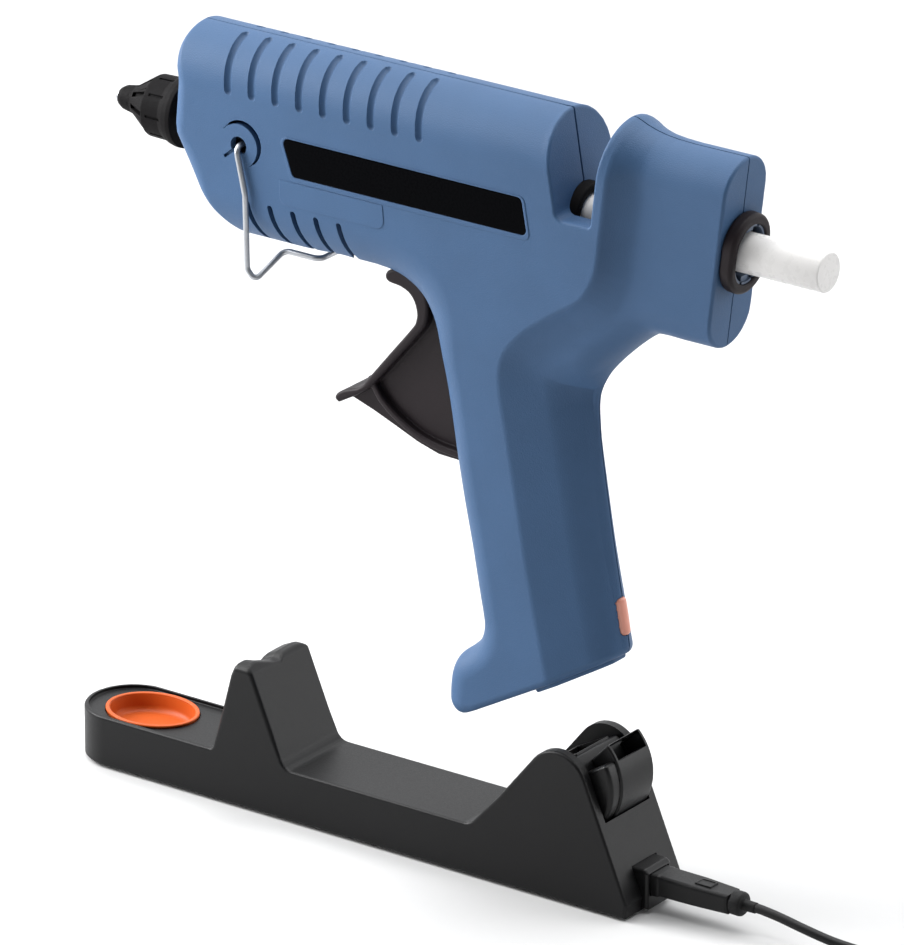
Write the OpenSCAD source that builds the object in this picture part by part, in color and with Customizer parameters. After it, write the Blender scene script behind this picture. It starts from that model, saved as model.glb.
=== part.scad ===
// Electric hot glue applicator with its powered base station.
// Millimetres. +Z up, +X towards the glue stick's end, -X towards the nozzle.
// Y = 0 is the middle plane shared by the applicator and the station.
// The station stands on Z = 0. At rest the applicator hovers above it, as lifted off.

/* [Glue stick and barrel] */
// Diameter of the glue stick
stick_d = 11; // [10.8:0.1:11.2]
// X of the glue stick's outer end
stick_end = 122.4; // [112:0.2:128]
// Height of the glue stick's axis above the bench
axis_z = 193.4; // [193.2:0.1:193.6]
// Radius of the barrel's rounded top and bottom
barrel_r = 14.5; // [14.3:0.1:14.7]
// Half of the straight part of the barrel's height
barrel_half = 13.9; // [13.7:0.1:14.1]
// Wall thickness of the housing
wall = 2.4; // [2.2:0.1:2.6]

/* [Handle] */
// Backward rake of the handle, in degrees
rake = 10.5; // [10:0.1:11]
// Half of the handle's thickness
grip_half = 13.5; // [13.3:0.1:13.7]
// Slope of the handle's foot, in degrees
foot_slope = 29; // [28.5:0.1:29.5]

/* [Trigger] */
// Radius of the trigger's pivot pin
trigger_pin_r = 2; // [1.8:0.05:2.1]
// Half width of the trigger's finger face
trigger_half = 8.3; // [7.8:0.1:8.4]

/* [Bail] */
// Diameter of the bail's wire
bail_d = 1.6; // [1.4:0.1:1.8]

/* [Station] */
// Half of the station's width
base_half = 13.3; // [13.2:0.1:13.5]
// Height of the station's deck
deck_z = 15.2; // [15:0.1:15.4]
// Diameter of the lead
lead_d = 2.6; // [2.4:0.1:2.8]

/* [Hidden] */
$fn = 64;
A = axis_z;
BC = 193.4;              // middle height of the barrel
PX = 12.25;              // trigger pivot
PZ = 173.5;
HX = 31.7;               // middle of the handle at HZ
HZ = 110;
EX = 46.2;               // centre of the station's ears
EZ = 34;
ER = 9.7;
BX = -57.6;              // bail pivot
BZ = 194;
FZ = 0.6;                // underside of the station, above its feet

// ---------- shared shapes ----------
module xcyl(r, x0, x1, z = A, y = 0) translate([x0, y, z]) rotate([0, 90, 0]) cylinder(r = r, h = x1 - x0);
module xcone(r0, r1, x0, x1, z = A, y = 0) translate([x0, y, z]) rotate([0, 90, 0]) cylinder(r1 = r0, r2 = r1, h = x1 - x0);
module ycyl(r, x, z, y0, y1) translate([x, y1, z]) rotate([90, 0, 0]) cylinder(r = r, h = y1 - y0);
module zcyl(r, x, y, z0, z1) translate([x, y, z0]) cylinder(r = r, h = z1 - z0);
module box(x0, x1, y0, y1, z0, z1) translate([x0, y0, z0]) cube([x1 - x0, y1 - y0, z1 - z0]);
// side view outline, extruded across the width
module side(pts, y0, y1) translate([0, y1, 0]) rotate([90, 0, 0]) linear_extrude(height = y1 - y0) polygon(pts);
// cross-section outline, extruded along the barrel
module xprism(pts, x0, x1, z = 0) translate([x0, 0, z]) rotate([90, 0, 90]) linear_extrude(height = x1 - x0) polygon(pts);
// plan outline, extruded upwards
module plan(pts, z0, z1) translate([0, 0, z0]) linear_extrude(height = z1 - z0) polygon(pts);
function arc(cx, cy, r, a0, a1, n) = [for (i = [0:n]) let (a = a0 + (a1 - a0) * i / n) [cx + r * cos(a), cy + r * sin(a)]];
// tall outline with a round top and bottom
function stad(r, half, n = 14) = concat(arc(0, half, r, 0, 180, n), arc(0, -half, r, 180, 360, n));
function both(p) = concat(p, [for (i = [len(p) - 1:-1:0]) [p[i][0], -p[i][1]]]);

// sweep of a round section along a route
function unit(v) = v / norm(v);
function tangent(p, i) = unit(p[min(i + 1, len(p) - 1)] - p[max(i - 1, 0)]);
function across(t) = abs(t[2]) > 0.8 ? unit(cross(t, [0, 1, 0])) : unit(cross(t, [0, 0, 1]));
// section directions carried along the route without twist
function carry(p, i, u, acc) = i == len(p) ? acc
  : let (t = tangent(p, i), v = unit(u - (u * t) * t)) carry(p, i + 1, v, concat(acc, [v]));
function ring(c, t, u, r, n) = let (w = cross(t, u))
  [for (k = [0:n - 1]) c + r * cos(360 * k / n) * u + r * sin(360 * k / n) * w];
// a route's corners, rounded
function rounded(p, d, n = 4) = concat([p[0]], [for (i = [1:len(p) - 2])
  let (la = norm(p[i - 1] - p[i]), lb = norm(p[i + 1] - p[i]),
    a = p[i] + unit(p[i - 1] - p[i]) * min(d, la / 2.2), b = p[i] + unit(p[i + 1] - p[i]) * min(d, lb / 2.2))
  each [for (k = [0:n]) let (t = k / n) (1 - t) * (1 - t) * a + 2 * t * (1 - t) * p[i] + t * t * b]], [p[len(p) - 1]]);
module tube(p, r, n = 8) {
  m = len(p);
  us = carry(p, 0, across(tangent(p, 0)), []);
  pts = [for (i = [0:m - 1]) each ring(p[i], tangent(p, i), us[i], r, n)];
  faces = concat([[for (k = [0:n - 1]) k]], [[for (k = [n - 1:-1:0]) (m - 1) * n + k]],
    [for (i = [0:m - 2], k = [0:n - 1]) [i * n + k, (i + 1) * n + k, (i + 1) * n + (k + 1) % n]],
    [for (i = [0:m - 2], k = [0:n - 1]) [i * n + k, (i + 1) * n + (k + 1) % n, i * n + (k + 1) % n]]);
  polyhedron(points = pts, faces = faces, convexity = 8);
}
// smooth curve through hand-set points
function cr(p0, p1, p2, p3, t) = 0.5 * ((2 * p1) + (p2 - p0) * t + (2 * p0 - 5 * p1 + 4 * p2 - p3) * t * t + (3 * p1 - p0 - 3 * p2 + p3) * t * t * t);
function curve(p, k) = concat([for (i = [0:len(p) - 2], j = [0:k - 1])
  cr(p[max(i - 1, 0)], p[i], p[i + 1], p[min(i + 2, len(p) - 1)], j / k)], [p[len(p) - 1]]);

// ---------- applicator housing ----------
barrel_out = [[-74.5, 223], [-78.5, 213], [-80.5, 203], [-82.5, 195.8], [-82, 191.8], [-62.2, 165],
  [-61, 160], [40, 160], [45.8, 169.1], [52.4, 173.3], [55.5, 176.8], [58.7, 183.7], [59.9, 192.3],
  [60.4, 195.5], [46, 195.5], [41.4, 223]];
barrel_in = [[-72.6, 222], [-76.2, 212.6], [-78.1, 202.6], [-79.9, 195.5], [-79.3, 193], [-60.8, 168],
  [-60, 164], [39, 164], [46, 172], [51, 175.4], [53.8, 178.2], [56.4, 184.4], [57.5, 192], [57.6, 193],
  [43.8, 193], [39.2, 222]];
front_plan = [[-90, -9], [-82.2, -9.5], [-80.6, -12.2], [-77, -14.1], [-72, -15], [70, -15], [70, 15],
  [-72, 15], [-77, 14.1], [-80.6, 12.2], [-82.2, 9.5], [-90, 9]];
flare_side = [[56.9, 165.6], [56.9, 195.5], [60.1, 223.4], [66, 223.6], [69, 221.8], [73, 220],
  [73, 166.4], [66, 165.6]];
flare_plan = both([[55, 14.4], [60.5, 14.4], [62.5, 12.6], [65, 11.2], [68.5, 10.2], [74, 9.7]]);
rear_side = [[60, 230], [97.6, 230], [97.6, 222], [90.3, 162], [60, 162]];
web_out = [[28, 172], [72, 172], [70.4, 165.9], [65.2, 162], [58.9, 156.3], [53.4, 150.3], [51.2, 145],
  [48.8, 138.6], [38, 138.6]];
web_in = [[32, 176], [68.5, 176], [67.5, 168.4], [63.4, 164.4], [57, 158.4], [51.2, 152.2], [48.4, 145.6],
  [45.6, 138], [38, 138]];
toe_out = [[26, 70], [17.2, 70.6], [14, 66.2], [9.6, 62.8], [7.2, 58.6], [6.2, 53], [7.2, 48], [9.5, 44.8],
  [12.6, 44], [30, 53]];
grip_back = [[1.6, 13.5], [6, 12.4], [10, 10.8], [14, 8.7], [17.5, 6.2], [20, 3.6], [21.2, 1.6], [21.5, 0]];
function grip_pts(ins) = let (r = 9 - ins)
  concat([for (a = [180:-15:90]) [-12.5 + r * cos(a), 4.5 + r * sin(a)]],
    [for (p = grip_back) let (k = 1 - ins / 13.5) [p[0] > 2 ? 1.6 + (p[0] - 1.6) * (1 - ins / 19.9) : p[0], (p[1] + (grip_half - 13.5) * p[1] / 13.5) * k]],
    [for (i = [len(grip_back) - 2:-1:0]) let (p = grip_back[i], k = 1 - ins / 13.5) [p[0] > 2 ? 1.6 + (p[0] - 1.6) * (1 - ins / 19.9) : p[0], -(p[1] + (grip_half - 13.5) * p[1] / 13.5) * k]],
    [for (a = [270:-15:180]) [-12.5 + r * cos(a), -4.5 + r * sin(a)]]);
// the handle's own slanted frame: X across the grip from front to back, Z along it
module grip_frame() translate([HX, 0, HZ]) rotate([0, -rake, 0]) children();
module grip_prism(ins, w0, w1) grip_frame() plan(grip_pts(ins), w0, w1);
// the sloping foot's own frame: X up the slope, -Z out of the foot
module foot_frame() translate([15.75, 0, 46.9]) rotate([0, -foot_slope, 0]) children();

// outline of the contact plate on the foot
function plate_plan(g) = both([[24 - g, 9 + g], [37, 9 + g], [42 + g / 2, 7.2 + g], [47.2 + g, 4 + g]]);

module outer_shape() {
  intersection() {
    xprism(stad(barrel_r, barrel_half), -90, 62, BC);
    side(barrel_out, -16, 16);
    plan(front_plan, 150, 230);
  }
  intersection() {
    xprism(stad(14.4, 14.7), 56, 73, 194.5);
    side(flare_side, -16, 16);
    plan(flare_plan, 150, 230);
  }
  intersection() {
    xprism(stad(9.7, 17.4), 60, 98, 192.7);
    side(rear_side, -16, 16);
  }
  difference() {
    union() {
      grip_prism(0, -62, 72);
      side(toe_out, -11.4, 11.4);
    }
    foot_frame() box(-40, 90, -30, 30, -60, 0);
  }
  side(web_out, -9.4, 9.4);
}
module inner_shape() {
  intersection() {
    xprism(stad(barrel_r - wall, barrel_half), -90, 58, BC);
    side(barrel_in, -16, 16);
    translate([2.4, 0, 0]) plan(front_plan, 150, 230);
  }
  intersection() {
    xprism(stad(11.4, 15), 59.4, 66, 194.2);
    side([[59.4, 168], [59.4, 193], [62.4, 220.6], [66, 220.6], [66, 168]], -16, 16);
    plan(both([[58, 12], [60.6, 11.9], [62.5, 10.2], [65, 8.8], [67, 8]]), 150, 230);
  }
  intersection() {
    xprism(stad(9.7 - wall, 17.4), 57, 98, 192.7);
    side([[57, 230], [95.2, 230], [95.2, 222], [87.9, 162], [57, 162], [57, 193], [61.5, 193]], -16, 16);
  }
  difference() {
    grip_prism(wall, -62, 74);
    foot_frame() box(-40, 90, -30, 30, -60, wall);
  }
  side(web_in, -7, 7);
}
posts = [[-62, 212.5], [27, 213], [-40, 174], [81, 209], [81, 176], [44.5, 100], [27.5, 82]];
module post(p, r) ycyl(r, p[0], p[1], -14.4, 14.4);
module label_shape(y0, y1, g) side([[-43 - g, 199.4 + g], [35 + g, 199.4 + g], [37 + g, 189.1 - g], [-39.6 - g, 189.1 - g]], y0, y1);
module openings() {
  // nozzle hole, stick channel and rear bush seat
  xcyl(7, -90, -76);
  xcyl(6.3, 36, 99);
  xcyl(8.1, 84, 100);
  xcyl(8.6, 36, 50);
  // trigger slot
  side([[-44, 113.6], [12.6, 113.6], [15, 150], [11, 169.2], [-18.8, 169.2], [-44, 166]], -8.9, 8.9);
  // bail pivot holes
  ycyl(bail_d / 2 + 0.05, BX, BZ, -20, 20);
  // cooling grooves over the barrel and slots under it
  for (i = [0:8], s = [-1, 1]) let (x = -61 + 7.87 * i) {
    difference() {
      translate([x, 0, 208.5]) rotate([0, -10.5, 0]) box(-0.95, 0.95, min(s * 3.2, s * 16), max(s * 3.2, s * 16), 0, 16);
      xprism(stad(barrel_r - 1.5, barrel_half), -80, 20, BC);
    }
  }
  for (i = [0:4], s = [-1, 1]) let (x = -55 + 7.6 * i) {
    box(x - 0.75, x + 0.75, min(s * 7, s * 16), max(s * 7, s * 16), 160, 179);
  }
  // label seats
  label_shape(-15, -14, 0);
  label_shape(14, 15, 0);
  // lens window and contact plate opening
  grip_frame() box(17.4, 24, -2.1, 2.1, -38.2, -27.2);
  foot_frame() plan(plate_plan(0.1), -5, 3.1);
  foot_frame() box(26.9, 43.1, -6.7, 6.7, 3, 10.1);
  // guide rod seats
  xcyl(1.52, -6, 38, A + 12.5);
  // trigger pin seat
  ycyl(trigger_pin_r + 0.03, PX, PZ, -12.1, 12.1);
}
module housing_body() {
  difference() {
    union() {
      difference() {
        outer_shape();
        inner_shape();
      }
      intersection() {
        union() {
          for (p = posts) post(p, 3.2);
          // guide rod ribs
          box(-6, -4, -13, 13, A + 9.6, A + 15.4);
          box(36, 38, -13, 13, A + 9.6, A + 15.4);
          // trigger pin bosses
          ycyl(4, PX, PZ, 10.5, 13);
          ycyl(4, PX, PZ, -13, -10.5);
          // return spring's anchor
          ycyl(1.8, 55, A - 11.5, -12.6, 12.6);
        }
        outer_shape();
      }
    }
    openings();
  }
}
module housing_near() color([0.29, 0.42, 0.58]) difference() {
  intersection() {
    housing_body();
    box(-100, 110, -20, 0, 30, 240);
  }
  for (p = posts) ycyl(1.35, p[0], p[1], -9, 1);
}
module housing_far() color([0.29, 0.42, 0.58]) difference() {
  intersection() {
    housing_body();
    box(-100, 110, 0, 20, 30, 240);
  }
  for (p = posts) {
    ycyl(1.45, p[0], p[1], -1, 20);
    ycyl(2.8, p[0], p[1], 7, 20);
  }
}
module housing_screws() color("silver") for (p = posts) difference() {
  union() {
    ycyl(1.3, p[0], p[1], -7.6, 7.5);
    ycyl(2.6, p[0], p[1], 7, 8.8);
  }
  box(p[0] - 1.8, p[0] + 1.8, 8, 9.5, p[1] - 0.3, p[1] + 0.3);
  box(p[0] - 0.3, p[0] + 0.3, 8, 9.5, p[1] - 1.8, p[1] + 1.8);
}

// ---------- melting and feed ----------
module nozzle() color([0.78, 0.66, 0.36]) difference() {
  union() {
    xcone(1.1, 2.6, -110, -106);
    xcyl(2.6, -106, -101);
    xcone(2.6, 5, -101, -95);
    xcyl(5, -95, -84);
    xcyl(3.9, -84, -69);
  }
  xcyl(0.75, -111, -100);
  xcyl(2, -100.5, -68);
}
module nozzle_sleeve() color([0.17, 0.16, 0.16]) difference() {
  union() {
    xcone(2.9, 3.6, -108.6, -106);
    xcyl(3.6, -106, -102.5);
    xcone(3.6, 8.4, -102.5, -94);
    xcyl(8.4, -94, -84.6);
  }
  // through bore over the nozzle, and grip grooves around the collar
  xcyl(2.65, -112, -101);
  xcone(2.65, 5.05, -101.02, -95);
  xcyl(5.05, -95.02, -84);
  for (k = [0:9]) translate([0, 0, A]) rotate([36 * k, 0, 0]) box(-97, -84, -0.9, 0.9, 7.6, 10);
}
module heating_chamber() color("silver") difference() {
  union() {
    xcyl(5.5, -75, -70);
    xcyl(9.2, -71.4, -22);
    box(-66, -30, -7, 7, A - 11, A + 11);
  }
  xcyl(3.95, -80, -68.6);
  xcyl(2.2, -69, -63);
  xcone(2.2, 5.9, -67, -62);
  xcyl(5.9, -62.01, -20);
}
module heater_plates() color("white") for (s = [-1, 1]) box(-64, -32, -6, 6, A + s * 12.25 - 1.25, A + s * 12.25 + 1.25);
module heater_clamps() color("lightsteelblue") for (s = [-1, 1]) {
  box(-58, -38, -6.8, 6.8, A + s * 13.9 - 0.4, A + s * 13.9 + 0.4);
  for (t = [-1, 1]) box(-58, -38, t * 6.5 - 0.3, t * 6.5 + 0.3, A + s * 12.5 - 1.5, A + s * 12.5 + 1.5);
}
module thermal_cutout() color("ivory") {
  xcyl(2.2, -56, -42, A + 16.5);
  xcyl(0.45, -58.2, -38, A + 16.5);
}
module inlet_sleeve() color([0.75, 0.3, 0.22]) difference() {
  union() {
    xcyl(8, -22, -6.4);
    xcyl(9.2, -22, -19);
  }
  xcyl(5.75, -23, -6);
}
module chamber_supports() color([0.55, 0.42, 0.25]) for (x = [-70.6, -28.8]) difference() {
  intersection() {
    xprism(stad(barrel_r - wall - 0.15, barrel_half), x, x + 2.4, BC);
    side([[-72, 216], [-75.6, 208], [-77.4, 200], [-77.6, 194.4], [-60.5, 171.4], [-20, 167.8], [-20, 216]], -16, 16);
    translate([2.6, 0, 0]) plan(front_plan, 150, 230);
  }
  xcyl(9.25, x - 1, x + 4);
  // room for the wires
  xprism(stad(4.4, 1), x - 1, x + 4, A + 21);
}
module feed_carriage() color([0.2, 0.2, 0.22]) difference() {
  union() {
    box(6, 24, -8, 8, A - 8.5, A + 8.5);
    box(8, 22, -4, 4, A + 8, A + 15.4);
    box(16, 23.6, -3, 3, A - 13.2, A - 8);
    ycyl(1.75, PX + 3.15, A, -10.4, 10.4);
  }
  xcyl(6, 0, 30);
  xcyl(1.56, 0, 30, A + 12.5);
}
module grip_plate() color("dimgray") difference() {
  box(3.4, 6, -7, 7, A - 7, A + 7);
  xcyl(5.7, 0, 10);
}
module guide_rod() color("silver") xcyl(1.5, -6, 38, A + 12.5);
spring_turns = 11;
module return_spring() color("silver") {
  tube(concat([[23.8, 0, A - 11.5], [25, 1.1, A - 11.5]],
    [for (i = [0:spring_turns * 10]) let (a = 36 * i) [26 + 24 * i / (spring_turns * 10), 2.2 * cos(a), A - 11.5 + 2.2 * sin(a)]],
    [[51.4, 1.1, A - 11.5], [53, 0, A - 11.5]]), 0.4, 6);
}
trigger_web = [[-27.6, 126.4], [-20, 123.9], [-13, 121.2], [-5.5, 118.2], [1.3, 116.3], [9.9, 115.9], [12.2, 116.6], [12.8, 150],
  [17, 168], [16.4, 177.6], [8.2, 177.6], [-1, 170], [-8, 166], [-2.2, 160], [-2, 154], [-11, 143], [-19, 133.4], [-22, 130.4]];
trigger_face = [[-29.6, 124.9], [-30.7, 125.7], [-30.3, 127.2], [-27.6, 129], [-24, 130.2], [-21.6, 131.7], [-19.8, 134], [-12.4, 143],
  [-5.2, 151.7], [-3.9, 154.2], [-3.7, 156.6], [-4.6, 159.5], [-6.5, 161.6], [-9.4, 162.7], [-12.7, 163.1], [-13.9, 164.2],
  [-13.6, 165.8], [-12, 166.9], [-9.6, 167.6], [-6.4, 167.4], [-3.2, 165.9], [-1, 163.7], [0.1, 160.8], [0.2, 157],
  [-0.6, 153.6], [-3, 150.2], [-9.8, 142.2], [-17.2, 133.6], [-19.9, 130.9], [-24.1, 128]];
trigger_rib = [[-19.6, 131.4], [-16.6, 127.6], [-11.8, 123.8], [-4.8, 120.1], [3, 118.2], [12, 117.5],
  [12, 119.5], [3.2, 120.2], [-4, 122.1], [-10.6, 125.6], [-14.8, 128.8], [-17.6, 132.6]];
module trigger() color([0.23, 0.21, 0.22]) difference() {
  union() {
    side(trigger_web, -5.2, 5.2);
    side(trigger_face, -trigger_half, trigger_half);
    side(trigger_rib, -7.5, 7.5);
    ycyl(4.4, PX, PZ, -10.2, 10.2);
    // fork arms that carry the carriage's pins
    for (s = [-1, 1]) side([[8.2, 173.5], [16.4, 173.5], [19.4, 197], [12.4, 197]], min(s * 8.4, s * 10.2), max(s * 8.4, s * 10.2));
  }
  ycyl(trigger_pin_r + 0.05, PX, PZ, -12, 12);
  // open slots for the carriage's pins
  translate([PX + 3.15, 0, A]) rotate([0, 9, 0]) box(-1.88, 1.88, -12, 12, -2.6, 8);
}
module trigger_pin() color("silver") ycyl(trigger_pin_r, PX, PZ, -12, 12);
module front_guide_ring() color([0.13, 0.12, 0.12]) difference() {
  xcyl(8.5, 41.6, 48.3);
  xcyl(5.9, 40, 50);
}
// the housing's sloping rear face: Y up the face, Z out of it
module bush_frame() translate([94.2, 0, A]) rotate([0, 96.9, 0]) rotate([0, 0, 90]) children();
module rear_guide_bush() color([0.2, 0.17, 0.16]) difference() {
  union() {
    xcyl(8, 86, 97.2);
    bush_frame() linear_extrude(height = 3.9) polygon(stad(8.95, 2.3));
  }
  xcyl(6.6, 80, 99);
  bush_frame() translate([0, 0, 0.2]) linear_extrude(height = 5) polygon(stad(6.55, 1.9));
}
module glue_stick() color([0.94, 0.93, 0.92]) xcyl(stick_d / 2, -30, stick_end);

// ---------- bail, labels and handle fittings ----------
bail_half = [[BX, -15.9, BZ], [-54.2, -15.9, 180.5], [-53.8, -15.9, 160], [-51.4, -15.9, 157.6], [-48.6, -6, 163.6], [-36.8, -6, 163.6], [-36.8, 0, 163.6]];
bail_route = concat([for (i = [0:5]) bail_half[i]], [for (i = [5:-1:0]) [bail_half[i][0], -bail_half[i][1], bail_half[i][2]]]);
module bail_wire() color([0.68, 0.7, 0.74]) {
  tube(rounded(bail_route, 3), bail_d / 2 - 0.02, 10);
  for (s = [-1, 1]) ycyl(bail_d / 2, BX, BZ, min(s * 10.5, s * 16.6), max(s * 10.5, s * 16.6));
}
module label_near() color([0.02, 0.02, 0.02]) label_shape(-14.6, -14, -0.15);
module label_far() color([0.02, 0.02, 0.02]) label_shape(14, 14.6, -0.15);
module indicator_lens() color([0.88, 0.45, 0.32]) intersection() {
  grip_prism(0, -38, -27.4);
  grip_frame() box(17.6, 24, -2, 2, -38, -27.4);
}
module led_board() color([0.1, 0.35, 0.18]) {
  grip_frame() box(9, 10.6, -6, 6, -35.2, -24);
  grip_frame() translate([10.6, 0, -32.5]) rotate([0, 90, 0]) cylinder(r = 2.4, h = 6);
}
module contact_plate() color([0.2, 0.28, 0.4]) foot_frame() difference() {
  union() {
    plan(plate_plan(0), -1.2, 3);
    box(27, 43, -6.6, 6.6, 2.9, 10);
  }
  for (s = [-1, 1]) box(29, 41, s * 4.2 - 1.3, s * 4.2 + 1.3, -2, 0.4);
}
module contact_pads() color([0.85, 0.68, 0.3]) foot_frame() for (s = [-1, 1]) box(29.1, 40.9, s * 4.2 - 1.2, s * 4.2 + 1.2, -0.6, 0.4);
leads = [[43.25, 5, 73.61], [41.8, 5, 76.24], [41, 5.6, 84], [38.6, 6, 92], [37.6, 6.6, 102], [37, 7, 114], [36.6, 6, 135],
  [39.4, 5.4, 156], [42.2, 5.8, 172], [42, 8.6, 182], [40.6, 9.8, 194], [40, 9.4, 203], [39.4, 7, 209.6], [37, 4.4, 214.6],
  [32, 3, 217.2], [27, 2.8, 217.6], [20, 3, 217.2], [-10, 3, 215.4], [-24, 2.8, 213.2], [-31, 2.6, 209.6], [-34, 2.6, 207.9], [-36, 2.6, 207.74]];
module heater_leads() color([0.75, 0.72, 0.66]) for (s = [-1, 1])
  tube(curve([for (p = leads) [p[0], s * p[1], p[2]]], 3), 0.8, 6);

// ---------- station ----------
deck_plan = concat([for (a = [90:7.5:270]) [-107.1 + base_half * cos(a), base_half * sin(a)]], [[40, -base_half], [40, base_half]]);
rim_plan = concat([for (a = [90:7.5:270]) [-107.1 + (base_half - 1.2) * cos(a), (base_half - 1.2) * sin(a)]], [[-70, -12.1], [-70, 12.1]]);
post_side = [[-72.6, 14], [-71, 15.3], [-69.6, 16.6], [-64.9, 38.6], [-63.6, 41.4], [-61.4, 43.4], [-58.8, 43.6],
  [-56.6, 42.2], [-55.6, 40.4], [-46, 17], [-44.2, 15.3], [-42, 14]];
rear_out = concat([[14, 14], [16.6, 15.2], [19.6, 16.8]], arc(EX, EZ, ER, 141, 23.4, 12), [[69.2, 4.6], [68.6, FZ], [14, FZ]]);
module tray_pocket(g, z0, z1) translate([-100, 0, z0]) linear_extrude(height = z1 - z0)
  polygon([for (a = [0:6:354]) [(14 + g) * cos(a), (11.25 + g) * sin(a)]]);
function wedge(r, a0, a1) = [[0, 0], [r * cos(a0), r * sin(a0)], [r * cos((2 * a0 + a1) / 3), r * sin((2 * a0 + a1) / 3)],
  [r * cos((a0 + 2 * a1) / 3), r * sin((a0 + 2 * a1) / 3)], [r * cos(a1), r * sin(a1)]];
// ring sector about the ears' axis, seen from the side
module sector(r0, r1, a0, a1, y0, y1) intersection() {
  difference() {
    ycyl(r1, EX, EZ, y0, y1);
    ycyl(r0, EX, EZ, y0 - 1, y1 + 1);
  }
  translate([EX, 0, EZ]) side(wedge(30, a0, a1), y0 - 1, y1 + 1);
}
base_screw_xs = [-76, -12, 34];
foot_xs = [-100, 58];
module base_shell() color([0.15, 0.15, 0.16]) difference() {
  union() {
    plan(deck_plan, FZ, deck_z);
    side(post_side, -base_half, base_half);
    side(rear_out, -base_half, base_half);
  }
  // sunken platform and tray seat
  plan(rim_plan, 14.2, 20);
  tray_pocket(0.15, 8, 20);
  // notch in the post's ridge
  side([[-70, 41.2], [-70, 50], [-50, 50], [-50, 41.2]], -1.6, 1.6);
  // hollow underside
  box(-84, 62.8, -10.9, 10.9, 0, 12.4);
  side([[-67.6, 12], [-63, 34], [-57.6, 34], [-48.4, 12]], -10.9, 10.9);
  side([[25, 12], [27, 14.5], [61.6, 14.5], [62.4, 12]], -10.9, 10.9);
  // contact head's pocket, open above and behind
  ycyl(9.3, EX, EZ, -10.3, 10.3);
  translate([EX, 0, EZ]) rotate([0, -29, 0]) box(-16, 30, -10.3, 10.3, 4.4, 30);
  sector(8, 16.7, -100, 66, -10.3, 10.3);
  ycyl(2.03, EX, EZ, -12.3, 12.3);
  // opening for the lead's socket
  box(60, 75, -5.7, 5.7, 1, 12.7);
  // feet recesses under the front end
  for (s = [-1, 1]) zcyl(4.05, foot_xs[0], s * 7, 0, 1.6);
}
module base_bottom() color([0.12, 0.12, 0.13]) difference() {
  union() {
    box(-83.9, 61, -10.8, 10.8, FZ, 2.6);
    for (x = base_screw_xs) zcyl(3.2, x, 0, 2, 12.4);
  }
  for (x = base_screw_xs) {
    zcyl(1.45, x, 0, 0, 13);
    zcyl(2.9, x, 0, 0, 2.1);
  }
  for (s = [-1, 1]) zcyl(4.05, foot_xs[1] - 4, s * 6.2, 0, 1.6);
}
module base_screws() color("silver") for (x = base_screw_xs) difference() {
  union() {
    zcyl(2.7, x, 0, 0.8, 2.1);
    zcyl(1.4, x, 0, 2, 12.3);
  }
  box(x - 1.8, x + 1.8, -0.3, 0.3, 0, 1.4);
  box(x - 0.3, x + 0.3, -1.8, 1.8, 0, 1.4);
}
module rubber_feet() color([0.08, 0.08, 0.08]) for (s = [-1, 1]) {
  zcyl(4, foot_xs[0], s * 7, 0, 1.6);
  zcyl(4, foot_xs[1] - 4, s * 6.2, 0, 1.6);
}
module drip_tray() color([0.92, 0.33, 0.08]) difference() {
  union() {
    tray_pocket(-0.35, 8.4, 14.6);
    tray_pocket(0, 14.25, 15);
  }
  tray_pocket(-1.7, 9.8, 20);
}
module head_turn() translate([EX, 0, EZ]) rotate([0, -29, 0]) children();
module contact_head() color([0.11, 0.11, 0.12]) difference() {
  union() {
    // drum with a flat top, and the contact opening's raised frame
    difference() {
      ycyl(8.5, EX, EZ, -9.8, 9.8);
      head_turn() box(-12, 12, -12, 12, 5, 14);
    }
    head_turn() box(-5.9, 5.9, -7.5, 7.5, 3, 5.75);
    // hood behind the drum, with its floor, cheeks and front wall
    sector(14.2, 16, -76, 47, -5.2, 9.6);
    sector(8, 15, -76, -62, -5.2, 9.6);
    sector(8, 15, -76, 46, 8, 9.6);
    sector(8, 15, -76, 46, -5.2, -3.6);
    sector(8, 15.4, -76, 31, -9.6, -5);
  }
  // opening in the hood's upper edge
  sector(10, 18, 28, 45, -3.6, 8);
  // contact opening
  head_turn() box(-5.3, 5.3, -6.9, 6.9, 2.6, 12);
  ycyl(2.05, EX, EZ, -11, 11);
}
module head_pin() color("silver") ycyl(2, EX, EZ, -12.2, 12.2);
module head_contacts() color([0.85, 0.68, 0.3]) head_turn() for (s = [-1, 1]) {
  box(-3.6, 3.6, s * 4.2 - 1, s * 4.2 + 1, 2.6, 3.2);
  translate([0, 0, 3.1]) box(-1.6, 1.6, s * 4.2 - 1, s * 4.2 + 1, 0, 2.3);
}
module station_wires() color([0.5, 0.3, 0.2]) for (s = [-1, 1])
  tube(curve([[60.5, s * 3, 7], [57, s * 3.4, 7], [50, s * 5, 6], [40, s * 6, 6.4], [33, s * 6, 10], [31.6, s * 6, 13.4]], 3), 0.8, 6);
module inlet_socket() color([0.09, 0.09, 0.1]) difference() {
  side([[61.2, 3], [61.2, 12.6], [69.6, 12.6], [70.8, 11.6], [70.8, 1.1], [64.4, 1.1], [64.4, 3]], -5.6, 5.6);
  box(64, 75, -4.4, 4.4, 4.7, 11.3);
  for (t = [-1, 1]) xcyl(1.02, 60, 65, 8.1, t * 2.4);
}
module inlet_pins() color([0.8, 0.8, 0.78]) for (s = [-1, 1]) xcyl(1, 60.6, 68.8, 8.1, s * 2.4);

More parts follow.
